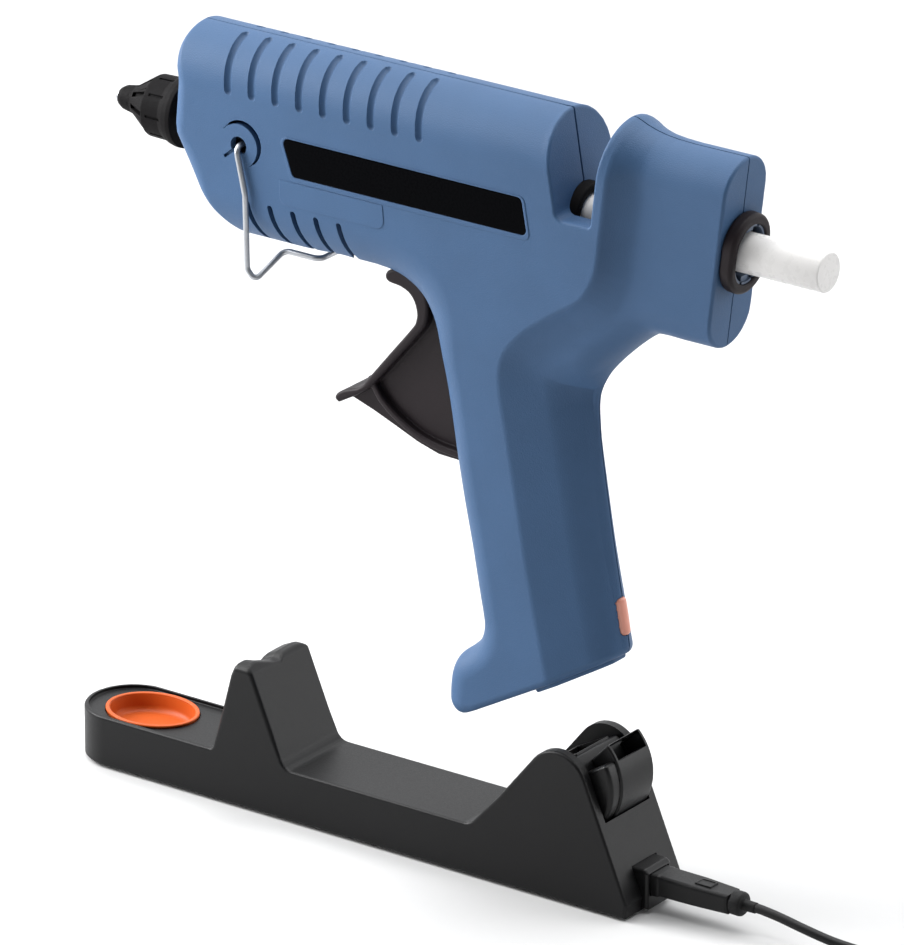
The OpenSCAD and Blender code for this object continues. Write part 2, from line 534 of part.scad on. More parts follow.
// ---------- lead ----------
lead_z = 8.1;
module lead_connector() color([0.1, 0.1, 0.1]) difference() {
  union() {
    box(64.3, 72, -4.2, 4.2, 4.9, 11.1);
    intersection() {
      side([[71.9, 5], [84, 5.2], [95, 5.3], [95, 10.9], [84, 11.1], [71.9, 11.2]], -8, 8);
      plan(both([[71.9, 4.1], [84, 4.1], [95, 3.4]]), 0, 20);
    }
    // finger rest on the grip
    box(83.5, 88.7, -1.9, 1.9, 10.6, 11.4);
  }
  for (s = [-1, 1]) xcyl(1.05, 60, 70, lead_z, s * 2.4);
}
module lead_boot() color([0.09, 0.09, 0.09]) {
  xcyl(3.4, 95.02, 98.4, lead_z);
  xcyl(1.5, 98.4, 102, lead_z);
}
route = [[102.04, 0, 8.1], [104, 0, 8.09], [110, 0, 7.4], [118, 0.4, 5.8], [127, 1.8, 3.8], [138, 4.6, 2.2], [150, 8.4, 1.5], [162, 12.4, 1.6],
  [172, 14.8, 1.9], [182, 15.6, 2]];
coil_c = [182, -4];
coil_r = 15.6;           // middle of the turns
coil_w = 10.6;           // four turns wide and four high
// the lead's free run from the connector to the coil
module lead_run() color([0.06, 0.06, 0.06]) tube(curve(route, 4), lead_d / 2, 8);
module lead_coil() color([0.06, 0.06, 0.06]) translate([coil_c[0], coil_c[1], 0.7]) rotate_extrude()
  translate([coil_r - coil_w / 2, 0]) square([coil_w, coil_w]);
tail_route = [[182, 15.6, 10], [191, 14.6, 9.6], [200, 11, 8.6], [208, 5.6, 7.6], [215, 1.4, 7], [219.5, 0.06, 6.9], [221.96, 0, 6.9]];
module lead_tail() color([0.06, 0.06, 0.06]) tube(curve(tail_route, 4), lead_d / 2, 8);
module lead_tie() color([0.12, 0.12, 0.12]) translate([coil_c[0], coil_c[1] - coil_r, 0]) difference() {
  box(-2, 2, -6.2, 6.5, 0.02, 12);
  box(-3, 3, -5.4, 5.7, 0.65, 11.4);
}
module mains_plug() color([0.06, 0.06, 0.06]) {
  xcone(2.2, 3.6, 222, 236.2, 6.9);
  intersection() {
    plan(both([[236, 5.4], [242, 8], [250, 14.6], [256, 17.2], [260, 17.6], [272, 17.6]]), 0, 20);
    side([[236, 2.6], [244, 1], [252, 0.1], [272, 0.1], [272, 13.7], [252, 13.7], [244, 12.8], [236, 11.2]], -20, 20);
  }
}
module plug_pins() color("silver") for (s = [-1, 1]) xcyl(2, 272, 291, 6.9, s * 9.3);

housing_near();
housing_far();
housing_screws();
nozzle();
nozzle_sleeve();
heating_chamber();
heater_plates();
heater_clamps();
thermal_cutout();
inlet_sleeve();
chamber_supports();
feed_carriage();
grip_plate();
guide_rod();
return_spring();
trigger();
trigger_pin();
front_guide_ring();
rear_guide_bush();
glue_stick();
bail_wire();
label_near();
label_far();
indicator_lens();
led_board();
contact_plate();
contact_pads();
heater_leads();
base_shell();
base_bottom();
base_screws();
rubber_feet();
drip_tray();
contact_head();
head_pin();
head_contacts();
station_wires();
inlet_socket();
inlet_pins();
lead_connector();
lead_boot();
lead_run();
lead_coil();
lead_tail();
lead_tie();
mains_plug();
plug_pins();
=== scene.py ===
import math

import bpy
import bmesh
import numpy as np
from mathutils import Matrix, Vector


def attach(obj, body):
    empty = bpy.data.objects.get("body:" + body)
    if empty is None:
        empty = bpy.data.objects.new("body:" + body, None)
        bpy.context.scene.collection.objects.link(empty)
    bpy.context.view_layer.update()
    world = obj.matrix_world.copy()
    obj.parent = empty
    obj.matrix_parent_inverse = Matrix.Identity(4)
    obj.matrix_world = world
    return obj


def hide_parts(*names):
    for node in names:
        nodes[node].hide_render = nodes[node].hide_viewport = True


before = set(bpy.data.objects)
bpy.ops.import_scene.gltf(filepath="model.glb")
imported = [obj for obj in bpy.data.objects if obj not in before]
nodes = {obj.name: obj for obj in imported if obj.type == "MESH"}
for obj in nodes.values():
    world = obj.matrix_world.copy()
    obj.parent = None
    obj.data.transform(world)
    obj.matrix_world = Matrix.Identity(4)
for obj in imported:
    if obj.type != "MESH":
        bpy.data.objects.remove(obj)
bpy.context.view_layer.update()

scene = bpy.context.scene
MM = 0.001

# ---------------------------------------------------------------- camera
TARGET = Vector((2.25, 0.0, 109.5)) * MM
BACK = Vector((0.54406, -0.75159, 0.37299))
cam_data = bpy.data.cameras.new("camera")
cam = bpy.data.objects.new("camera", cam_data)
scene.collection.objects.link(cam)
cam.location = TARGET + BACK * 2.7
cam.rotation_mode = "QUATERNION"
cam.rotation_quaternion = (-BACK).to_track_quat("-Z", "Y")
cam_data.sensor_width = 36.0
cam_data.lens = 384.19
cam_data.clip_start = 0.1
cam_data.clip_end = 50.0
scene.camera = cam


# ---------------------------------------------------------------- solid modelling by distance fields (millimetres)
def rmax(a, b, r):
    """Intersection of two solids with a round edge of radius r."""
    return np.minimum(np.maximum(a, b), -r) + np.sqrt(np.maximum(a + r, 0) ** 2 + np.maximum(b + r, 0) ** 2)


def rmin(a, b, r):
    """Union of two solids with a hollow fillet of radius r."""
    return -rmax(-a, -b, r)


def cut(a, b, r=0.0):
    return rmax(a, -b, r) if r else np.maximum(a, -b)


def smooth(t, a, b):
    t = np.clip((t - a) / (b - a), 0, 1)
    return t * t * (3 - 2 * t)


def poly(p, q, pts):
    """Signed distance to a closed outline."""
    v = np.asarray(pts, np.float32)
    n = len(v)
    best, odd = None, None
    for i in range(n):
        a, b = v[i], v[i - 1]
        e = b - a
        wp, wq = p - a[0], q - a[1]
        t = np.clip((wp * e[0] + wq * e[1]) / max(float(e @ e), 1e-9), 0, 1)
        d = (wp - e[0] * t) ** 2 + (wq - e[1] * t) ** 2
        best = d if best is None else np.minimum(best, d)
        c1, c2 = q >= a[1], q < b[1]
        c3 = e[0] * wq > e[1] * wp
        flip = (c1 & c2 & c3) | (~c1 & ~c2 & ~c3)
        odd = flip if odd is None else odd ^ flip
    return np.where(odd, -1.0, 1.0).astype(np.float32) * np.sqrt(best)


def polyline(p, q, pts):
    """Distance to an open line, and on which side: positive on its right when walked downwards."""
    v = np.asarray(pts, np.float32)
    best, side = None, None
    for i in range(len(v) - 1):
        a, b = v[i], v[i + 1]
        e = b - a
        wp, wq = p - a[0], q - a[1]
        t = np.clip((wp * e[0] + wq * e[1]) / float(e @ e), 0, 1)
        d = (wp - e[0] * t) ** 2 + (wq - e[1] * t) ** 2
        s = np.sign(wq * e[0] - wp * e[1])
        if best is None:
            best, side = d, s
        else:
            near = d < best
            side = np.where(near, s, side)
            best = np.where(near, d, best)
    return np.sqrt(best) * side


def fillet(pts, n=6):
    """An outline of (x, y) or (x, y, radius) corners, with each corner rounded."""
    out, m = [], len(pts)
    for i in range(m):
        p = np.array(pts[i][:2], float)
        r = pts[i][2] if len(pts[i]) > 2 else 0.0
        a, b = np.array(pts[i - 1][:2], float) - p, np.array(pts[(i + 1) % m][:2], float) - p
        la, lb = np.linalg.norm(a), np.linalg.norm(b)
        a, b = a / la, b / lb
        ang = math.acos(max(-1, min(1, float(a @ b))))
        if r <= 0 or ang > math.pi - 0.02:
            out.append(tuple(p))
            continue
        t = min(r / math.tan(ang / 2), 0.48 * la, 0.48 * lb)
        r = t * math.tan(ang / 2)
        mid = (a + b) / np.linalg.norm(a + b)
        c = p + mid * (r / math.sin(ang / 2))
        s, e = p + a * t - c, p + b * t - c
        th0, th1 = math.atan2(s[1], s[0]), math.atan2(e[1], e[0])
        dth = (th1 - th0 + math.pi) % (2 * math.pi) - math.pi
        out += [(c[0] + r * math.cos(th0 + dth * k / n), c[1] + r * math.sin(th0 + dth * k / n)) for k in range(n + 1)]
    return out


def curve(pts, k=5):
    """A smooth line through points."""
    p = [np.array(a, float) for a in pts]
    out = []
    for i in range(len(p) - 1):
        a, b, c, d = p[max(i - 1, 0)], p[i], p[i + 1], p[min(i + 2, len(p) - 1)]
        for j in range(k):
            t = j / k
            out.append(tuple(0.5 * (2 * b + (c - a) * t + (2 * a - 5 * b + 4 * c - d) * t * t + (3 * b - a - 3 * c + d) * t ** 3)))
    return out + [tuple(p[-1])]


def plane(p, q, a, b):
    """Distance from the line a-b, positive on its left."""
    e = np.array(b, float) - np.array(a, float)
    e /= np.linalg.norm(e)
    return (q - a[1]) * e[0] - (p - a[0]) * e[1]


class Sheet:
    """A field of the side view, sampled once and read back between samples."""

    def __init__(self, fn, lo, hi, h):
        self.lo, self.h = lo, h
        p = np.arange(lo[0], hi[0] + h, h)
        q = np.arange(lo[1], hi[1] + h, h)
        self.v = np.asarray(fn(p[:, None], q[None, :]), np.float64)

    def __call__(self, p, q):
        a, b = (np.asarray(p, np.float64) - self.lo[0]) / self.h, (np.asarray(q, np.float64) - self.lo[1]) / self.h
        a, b = np.clip(a, 0, self.v.shape[0] - 1.001), np.clip(b, 0, self.v.shape[1] - 1.001)
        i, j = a.astype(np.int32), b.astype(np.int32)
        a, b = a - i, b - j
        v = self.v
        return (v[i, j] * (1 - a) + v[i + 1, j] * a) * (1 - b) + (v[i, j + 1] * (1 - a) + v[i + 1, j + 1] * a) * b


def gradient(f, p, e=0.02):
    g = np.zeros_like(p)
    for i in range(3):
        o = np.zeros(3)
        o[i] = e
        a, b = p + o, p - o
        g[:, i] = f(a[:, 0], a[:, 1], a[:, 2]) - f(b[:, 0], b[:, 1], b[:, 2])
    return g / np.maximum(np.linalg.norm(g, axis=1), 1e-9)[:, None]


def solid(name, f, lo, hi, h, tris=60000):
    """A mesh object of the solid where f(x, y, z) < 0 inside the box lo-hi, with its sharp edges kept."""
    lo, hi = np.array(lo, float) - 1.37 * h, np.array(hi, float) + 1.61 * h
    ax = [np.arange(lo[i], hi[i] + h, h) for i in range(3)]
    d = np.empty([len(a) for a in ax], np.float32)
    step = max(1, int(2e6 // (len(ax[1]) * len(ax[2]))))
    for i in range(0, len(ax[0]), step):
        d[i:i + step] = f(ax[0][i:i + step, None, None], ax[1][None, :, None], ax[2][None, None, :])
    s = d < 0
    c = [s[i:s.shape[0] - 1 + i, j:s.shape[1] - 1 + j, k:s.shape[2] - 1 + k] for i in (0, 1) for j in (0, 1) for k in (0, 1)]
    every, some = c[0].copy(), c[0].copy()
    for a in c[1:]:
        every &= a
        some |= a
    act = some & ~every
    idx = np.full(act.shape, -1, np.int32)
    cells = np.argwhere(act)
    idx[act] = np.arange(len(cells), dtype=np.int32)
    quads, cross, owner = [], [], []
    for k in range(3):
        s0, s1 = [slice(None)] * 3, [slice(None)] * 3
        s0[k], s1[k] = slice(0, -1), slice(1, None)
        a, b = s[tuple(s0)], s[tuple(s1)]
        e = np.argwhere(a != b)
        u, v = (k + 1) % 3, (k + 2) % 3
        e = e[(e[:, u] > 0) & (e[:, v] > 0) & (e[:, u] < s.shape[u] - 1) & (e[:, v] < s.shape[v] - 1)]
        e1 = e.copy()
        e1[:, k] += 1
        va, vb = d[e[:, 0], e[:, 1], e[:, 2]].astype(float), d[e1[:, 0], e1[:, 1], e1[:, 2]].astype(float)
        t0, t1 = np.zeros(len(e)), np.ones(len(e))
        base = lo + e * h
        for n in range(4):
            t = t0 + (t1 - t0) * np.clip(va / (va - vb), 0.02, 0.98)
            q = base.copy()
            q[:, k] += t * h
            vm = f(q[:, 0], q[:, 1], q[:, 2])
            low = (vm < 0) == (va < 0)
            t0, va = np.where(low, t, t0), np.where(low, vm, va)
            t1, vb = np.where(low, t1, t), np.where(low, vb, vm)
        t = t0 + (t1 - t0) * np.clip(va / np.where(va == vb, 1, va - vb), 0, 1)
        q = base.copy()
        q[:, k] += t * h
        inside = a[e[:, 0], e[:, 1], e[:, 2]]
        ring = []
        for du, dv in ((-1, -1), (0, -1), (0, 0), (-1, 0)):
            g = e.copy()
            g[:, u] += du
            g[:, v] += dv
            ring.append(idx[g[:, 0], g[:, 1], g[:, 2]])
        r = np.stack(ring, 1)
        quads.append(np.where(inside[:, None], r, r[:, ::-1]))
        cross.append(q)
        owner.append(r)
    quads, cross, owner = np.concatenate(quads), np.concatenate(cross), np.concatenate(owner)
    nrm = gradient(f, cross)
    n = len(cells)
    o = owner.ravel()
    P, N = np.repeat(cross, 4, 0), np.repeat(nrm, 4, 0)
    cnt = np.maximum(np.bincount(o, minlength=n), 1).astype(float)
    mass = np.stack([np.bincount(o, P[:, i], n) for i in range(3)], 1) / cnt[:, None]
    dist = ((P - mass[o]) * N).sum(1)
    rhs = np.stack([np.bincount(o, N[:, i] * dist, n) for i in range(3)], 1)
    M = np.empty((n, 3, 3))
    for i in range(3):
        for j in range(3):
            M[:, i, j] = np.bincount(o, N[:, i] * N[:, j], n)
    M += np.eye(3) * 0.03 * cnt[:, None, None]
    pts = mass + np.linalg.solve(M, rhs[:, :, None])[:, :, 0]
    pts = np.clip(pts, lo + (cells - 0.02) * h, lo + (cells + 1.02) * h)
    me = bpy.data.meshes.new(name)
    me.from_pydata((pts * MM).tolist(), [], quads.tolist())
    ob = bpy.data.objects.new(name, me)
    scene.collection.objects.link(ob)
    if len(quads) * 2 > tris:
        m = ob.modifiers.new("thin", "DECIMATE")
        m.ratio = tris / (len(quads) * 2)
        new = bpy.data.meshes.new_from_object(ob.evaluated_get(bpy.context.evaluated_depsgraph_get()))
        ob.modifiers.clear()
        ob.data = new
        bpy.data.meshes.remove(me)
        new.name = name
        me = new
    shade(me, f)
    return ob


def shade(me, f):
    """Corner normals from the field, so that round faces look round and edges stay crisp."""
    nl, nv, nf = len(me.loops), len(me.vertices), len(me.polygons)
    co, lv = np.zeros(nv * 3), np.zeros(nl, np.int32)
    me.vertices.foreach_get("co", co)
    me.loops.foreach_get("vertex_index", lv)
    tot, fc = np.zeros(nf, np.int32), np.zeros(nf * 3)
    me.polygons.foreach_get("loop_total", tot)
    me.polygons.foreach_get("center", fc)
    fn = np.zeros(nf * 3)
    me.polygons.foreach_get("normal", fn)
    face = np.repeat(np.arange(nf), tot)
    v = co.reshape(-1, 3)[lv] / MM
    m = fc.reshape(-1, 3)[face] / MM
    w = m - v
    ln = np.maximum(np.linalg.norm(w, axis=1), 1e-6)
    q = v + w * np.minimum(0.12, 0.12 / ln)[:, None]
    q = np.where((ln < 0.15)[:, None], v + w * 0.3, q)
    g = gradient(f, q, 0.015)
    flat = fn.reshape(-1, 3)[face]
    g = np.where(((g * flat).sum(1) < 0.5)[:, None], flat, g)
    me.polygons.foreach_set("use_smooth", np.ones(nf, bool))
    me.normals_split_custom_set(g.tolist())
    me.update()


# ---------------------------------------------------------------- materials
def material(name):
    m = bpy.data.materials.new(name)
    m.use_nodes = True
    return m, m.node_tree.nodes, m.node_tree.links, m.node_tree.nodes["Principled BSDF"]


def noise(nt, ln, scale, detail=3.0, rough=0.55):
    co = nt.get("co") or nt.new("ShaderNodeTexCoord")
    co.name = "co"
    n = nt.new("ShaderNodeTexNoise")
    n.inputs["Scale"].default_value = scale
    n.inputs["Detail"].default_value = detail
    n.inputs["Roughness"].default_value = rough
    ln.new(co.outputs["Object"], n.inputs["Vector"])
    return n


def ramp(nt, ln, src, stops):
    r = nt.new("ShaderNodeValToRGB")
    while len(r.color_ramp.elements) < len(stops):
        r.color_ramp.elements.new(0.5)
    for e, (pos, col) in zip(r.color_ramp.elements, stops):
        e.position = pos
        e.color = (*col, 1)
    ln.new(src, r.inputs["Fac"])
    return r


def plastic(name, col, vary=0.06, rough=(0.42, 0.55), grain=2600.0, bump=0.05, depth=0.00006, spec=0.4, blotch=45.0):
    m, nt, ln, b = material(name)
    n1 = noise(nt, ln, blotch, 4.0)
    r1 = ramp(nt, ln, n1.outputs["Fac"], [(0.3, [c * (1 - vary) for c in col]), (0.7, [min(1, c * (1 + vary)) for c in col])])
    ln.new(r1.outputs["Color"], b.inputs["Base Color"])
    n2 = noise(nt, ln, grain, 2.0)
    mr = nt.new("ShaderNodeMapRange")
    mr.inputs["From Min"].default_value, mr.inputs["From Max"].default_value = 0.3, 0.7
    mr.inputs["To Min"].default_value, mr.inputs["To Max"].default_value = rough
    ln.new(n2.outputs["Fac"], mr.inputs["Value"])
    ln.new(mr.outputs["Result"], b.inputs["Roughness"])
    bp = nt.new("ShaderNodeBump")
    bp.inputs["Strength"].default_value = bump
    bp.inputs["Distance"].default_value = depth
    ln.new(n2.outputs["Fac"], bp.inputs["Height"])
    ln.new(bp.outputs["Normal"], b.inputs["Normal"])
    b.inputs["Specular IOR Level"].default_value = spec
    return m


def metal(name, col, rough=(0.18, 0.32), grain=900.0, bump=0.03):
    m = plastic(name, col, 0.05, rough, grain, bump, 0.00004, 0.5, 120.0)
    m.node_tree.nodes["Principled BSDF"].inputs["Metallic"].default_value = 1.0
    return m


BLUE = plastic("blue_plastic", (0.042, 0.0905, 0.182), 0.04, (0.46, 0.60), 3000.0, 0.9, 0.00010, 0.22, 60.0)
BLACK = plastic("black_plastic", (0.0034, 0.0034, 0.0038), 0.12, (0.38, 0.5), 3000.0, 0.4, 0.00005, 0.23)
HEAD = plastic("head_plastic", (0.0040, 0.0040, 0.0044), 0.12, (0.34, 0.46), 3000.0, 0.3, 0.00005, 0.25)
BROWN = plastic("trigger_plastic", (0.0138, 0.0103, 0.0120), 0.08, (0.42, 0.55), 3000.0, 0.4, 0.00005, 0.14)
ORANGE = plastic("orange_plastic", (0.42, 0.071, 0.0105), 0.05, (0.36, 0.48), 2600.0, 0.2, 0.00005, 0.18)
SILICONE = plastic("silicone", (0.0050, 0.0046, 0.0050), 0.14, (0.60, 0.74), 2200.0, 0.5, 0.00006, 0.06)
RUBBER = plastic("rubber", (0.006, 0.006, 0.0065), 0.12, (0.5, 0.68), 2400.0, 0.3, 0.00005, 0.22)
CORD = plastic("cord_rubber", (0.006, 0.006, 0.0065), 0.10, (0.44, 0.58), 2400.0, 0.2, 0.00004, 0.27)
LABEL = plastic("label_film", (0.0008, 0.0009, 0.0014), 0.15, (0.24, 0.32), 1500.0, 0.02, 0.00002, 0.015)
LENS = plastic("lens_plastic", (0.60, 0.25, 0.185), 0.05, (0.28, 0.38), 1800.0, 0.1, 0.00004, 0.5)
GLUE = plastic("glue", (0.66, 0.650, 0.640), 0.015, (0.24, 0.34), 500.0, 0.02, 0.00003, 0.35, 90.0)
WIRE = metal("wire_steel", (0.44, 0.455, 0.48), (0.42, 0.55), 1400.0, 0.05)
STEEL = metal("steel", (0.50, 0.51, 0.53), (0.28, 0.42), 1200.0, 0.05)
BRASS = metal("brass", (0.75, 0.60, 0.32), (0.20, 0.34), 1200.0, 0.04)
ALU = metal("aluminium", (0.66, 0.67, 0.69), (0.34, 0.5), 900.0, 0.1)
GILT = metal("gilt", (0.83, 0.62, 0.26), (0.2, 0.32), 1200.0, 0.04)
CERAMIC = plastic("ceramic", (0.78, 0.76, 0.70), 0.05, (0.5, 0.65), 1800.0, 0.2)
MICA = plastic("mica", (0.34, 0.25, 0.14), 0.2, (0.4, 0.6), 900.0, 0.3)
BOARD = plastic("board", (0.03, 0.16, 0.06), 0.1, (0.35, 0.5), 1500.0, 0.1)
SHEATH = plastic("wire_sheath", (0.50, 0.46, 0.38), 0.12, (0.6, 0.75), 2000.0, 0.5)
RED = plastic("silicone_red", (0.42, 0.06, 0.035), 0.08, (0.5, 0.64), 1800.0, 0.3)
INNER = plastic("bush_ring", (0.085, 0.115, 0.17), 0.08, (0.36, 0.5), 2400.0, 0.2)

look = {"housing_near": BLUE, "housing_far": BLUE, "housing_screws": STEEL, "nozzle": BRASS, "nozzle_sleeve": SILICONE,
        "heating_chamber": ALU, "heater_plates": CERAMIC, "heater_clamps": STEEL, "thermal_cutout": CERAMIC,
        "inlet_sleeve": RED, "chamber_supports": MICA, "feed_carriage": BLACK, "grip_plate": STEEL, "guide_rod": STEEL,
        "return_spring": STEEL, "trigger": BROWN, "trigger_pin": STEEL, "front_guide_ring": SILICONE,
        "rear_guide_bush": BROWN, "glue_stick": GLUE, "bail_wire": WIRE, "label_near": LABEL, "label_far": LABEL,
        "indicator_lens": LENS, "led_board": BOARD, "contact_plate": BLUE, "contact_pads": GILT, "heater_leads": SHEATH,
        "base_shell": BLACK, "base_bottom": BLACK, "base_screws": STEEL, "rubber_feet": RUBBER, "drip_tray": ORANGE,
        "contact_head": HEAD, "head_pin": STEEL, "head_contacts": GILT, "station_wires": SHEATH, "inlet_socket": HEAD,
        "inlet_pins": GILT, "lead_connector": BLACK, "lead_boot": RUBBER, "lead_run": CORD, "lead_coil": CORD,
        "lead_tail": CORD, "lead_tie": BLACK, "mains_plug": BLACK, "plug_pins": STEEL}
for n, o in nodes.items():
    o.data.materials.clear()
    o.data.materials.append(look[n])


def piece(ob, mat, body, slot, *stands_for):
    ob.data.materials.clear()
    ob.data.materials.append(mat)
    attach(ob, body)
    if stands_for:
        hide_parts(*stands_for)
    return ob


# ---------------------------------------------------------------- applicator housing
BC = 193.4
CREASE = curve([(63.6, 226), (62.25, 212.3), (60.75, 199.5), (59.85, 192.3), (58.65, 183.7), (55.45, 176.8), (51.6, 172.9),
                (45.75, 169.1), (37.65, 163.3), (32.85, 158.9), (28.95, 153.7), (27.35, 147.7), (27.75, 140.7),
                (29.65, 129.8), (32.65, 113.4), (35.6, 96.8), (38.5, 83.2), (40.9, 72.2), (43.5, 60), (46, 48), (49, 30)], 3)
SIDE = ([(-90, 221.8), (40, 221.8), (57, 223.2), (60.2, 223.4), (62.0, 223.2), (63.5, 222.6), (65.5, 221.8), (68, 221.05), (71, 220.4),
         (75, 219.95), (80, 219.75), (110, 219.75), (110, 165.6)]
        + curve([(80, 165.6), (74, 165.7), (70.2, 165.0), (65.4, 161.6), (59.2, 155.9), (54.0, 150.0), (51.2, 144.6), (50.4, 140.4),
                 (50.6, 135), (51.4, 127.3), (54.4, 108), (56.8, 94.3), (59.2, 82)], 4)
        + [(61.2, 70), (62.5, 56), (62.5, 30), (8.4, 30), (8.1, 45.0)]
        + curve([(8.0, 49), (8.1, 53.4), (8.8, 57.8), (10.7, 61.7), (14.6, 65), (17.4, 68.2), (18.55, 72.6), (18.0, 77), (16.9, 82.6),
                 (14.6, 95), (12, 107.4), (9.7, 119.8), (7.7, 132.2), (6.1, 141.6), (4.0, 150.6), (1.6, 156.4), (-2.6, 161.2),
                 (-9, 164.2), (-16, 165.0)], 4)
        + [(-24, 165.0), (-90, 165.0)])
FRONT = [(-79.4, 226), (-79.6, 221.8), (-80.0, 217.4), (-80.4, 213), (-80.9, 208), (-81.5, 203), (-82.3, 196.4), (-82.4, 195), (-81.9, 191.8),
         (-62.0, 165), (-58, 159.6), (-58, 20), (200, 20), (200, 226)]
NOTCH = fillet([(46.0, 195.5, 2.6), (41.5, 222.6), (40.7, 227.6), (60.8, 227.6), (60.2, 223.4), (56.9, 195.5, 1.2)])
FOOT = ((15.75, 46.9), (15.75 + math.cos(math.radians(29)), 46.9 + math.sin(math.radians(29))))
LABEL_PTS = [(-43.05, 199.4), (35.05, 199.3), (36.95, 189.1), (-39.45, 189.1)]
POSTS = [(-62, 212.5), (27, 213), (-40, 174), (81, 209), (81, 176), (44.5, 100), (27.5, 82)]
crease_at = Sheet(lambda p, q: polyline(p, q, CREASE), (-96, 28), (112, 232), 0.25)
side_at = Sheet(lambda p, q: poly(p, q, SIDE), (-96, 28), (112, 232), 0.25)


def body(x, y, z):
    """The housing's outer form."""
    a = np.abs(y)
    s, p = crease_at(x, z), side_at(x, z)
    left = 14.5 - 1.0 * smooth(-z, -166, -128)
    tau = smooth(z, 140, 168)
    t = np.where(np.abs(s) < 0.8, (s + 0.8) ** 2 / 3.2, np.maximum(s, 0))
    block = 9.7 + (left - 9.7) * np.maximum(0, 1 - t / 9.5) ** 2
    f1, f2 = left - 0.40 * t, left - 5.1 - 0.98 * (t - 13.4)
    grip = np.minimum(f1, f2) - np.maximum(0, 1.6 - np.abs(f1 - f2)) ** 2 / 6.4
    w = np.maximum(grip * (1 - tau) + block * tau, 1.2)
    r_left = 8.8 + 5.7 * smooth(z, 146, 172) - 1.2 * smooth(-z, -70, -58)
    r_right = np.minimum(3.2 + 6.5 * smooth(z, 141, 164), w)
    r = np.where(z > 185, w, np.where(s > 0, r_right, r_left))
    slope = np.where(s > 0, 1 - 0.14 * (1 - tau), 1.0)
    d = rmax((a - w) * slope, p, np.maximum(r, 0.6))
    d = rmax(d, poly(x, z, FRONT), 1.2 + 5.0 * smooth(-z, -219, -206) - 4.4 * smooth(-z, -190, -172))
    d = rmax(d, plane(x, z, (97.35, 219.8), (90.85, 166.2)), 0.9)
    d = rmax(d, -plane(x, z, *FOOT), 1.9 + 3.9 * smooth(-x, -19, -9))
    return cut(d, poly(x, z, NOTCH), 0.7)


def vents(x, y, z, out):
    """Grooves over the barrel, and slots through its lower side."""
    a = np.abs(y)
    d = None
    for i in range(9):
        cx = -61.0 + 7.87 * i - 0.185 * (z - 208.6)
        e = np.maximum(np.maximum(208.9 - z, 3.6 - a), 0)
        v = np.sqrt((x - cx) ** 2 + (out - 0.30) ** 2 + e * e) - 1.25
        d = v if d is None else np.minimum(d, v)
    for i in range(5):
        cx = -55 + 7.6 * i + 2.2 * np.clip((179 - z) / 12, 0, 1.2)
        e = np.maximum(np.maximum(z - 179.2, 6.8 - a) + 0.85, 0)
        d = np.minimum(d, np.sqrt((x - cx) ** 2 + e * e) - 0.85)
    return d


LABEL_SEAT = fillet([(p[0] + g[0], p[1] + g[1], 1.9) for p, g in zip(LABEL_PTS, [(-0.3, 0.3), (0.3, 0.3), (0.3, -0.3), (-0.3, -0.3)])])
BORDER = fillet([(p[0] + g[0], p[1] + g[1], 1.9) for p, g in zip(LABEL_PTS, [(-1.0, 0.5), (0.9, 0.5), (1.1, -1.4), (-0.9, -1.4)])])
PANEL = fillet([(-44.0, 187.4), (-10.0, 187.4), (-9.3, 180.5, 2.4), (-44.0, 180.5, 2.4)])
LABEL_EDGE = fillet([(*p, 1.5) for p in LABEL_PTS])
CA, SA = math.cos(math.radians(10.5)), math.sin(math.radians(10.5))
CF, SF = math.cos(math.radians(29)), math.sin(math.radians(29))


def grip_uv(x, z):
    return (x - 31.7) * CA + (z - 110) * SA, -(x - 31.7) * SA + (z - 110) * CA


def foot_uv(x, z):
    return (x - 15.75) * CF + (z - 46.9) * SF, -(x - 15.75) * SF + (z - 46.9) * CF


def rbox(a, b, c, ra, rb, rc, r):
    """Rounded box about the origin."""
    qa, qb, qc = np.abs(a) - ra + r, np.abs(b) - rb + r, np.abs(c) - rc + r
    return np.sqrt(np.maximum(qa, 0) ** 2 + np.maximum(qb, 0) ** 2 + np.maximum(qc, 0) ** 2) + np.minimum(np.maximum(qa, np.maximum(qb, qc)), 0) - r


def lens_box(x, y, z, g=0.0):
    u, v = grip_uv(x, z)
    return rbox(u - 22.0, y, v + 32.7, 4.4 + g, 1.9 + g, 5.2 + g, 1.4)


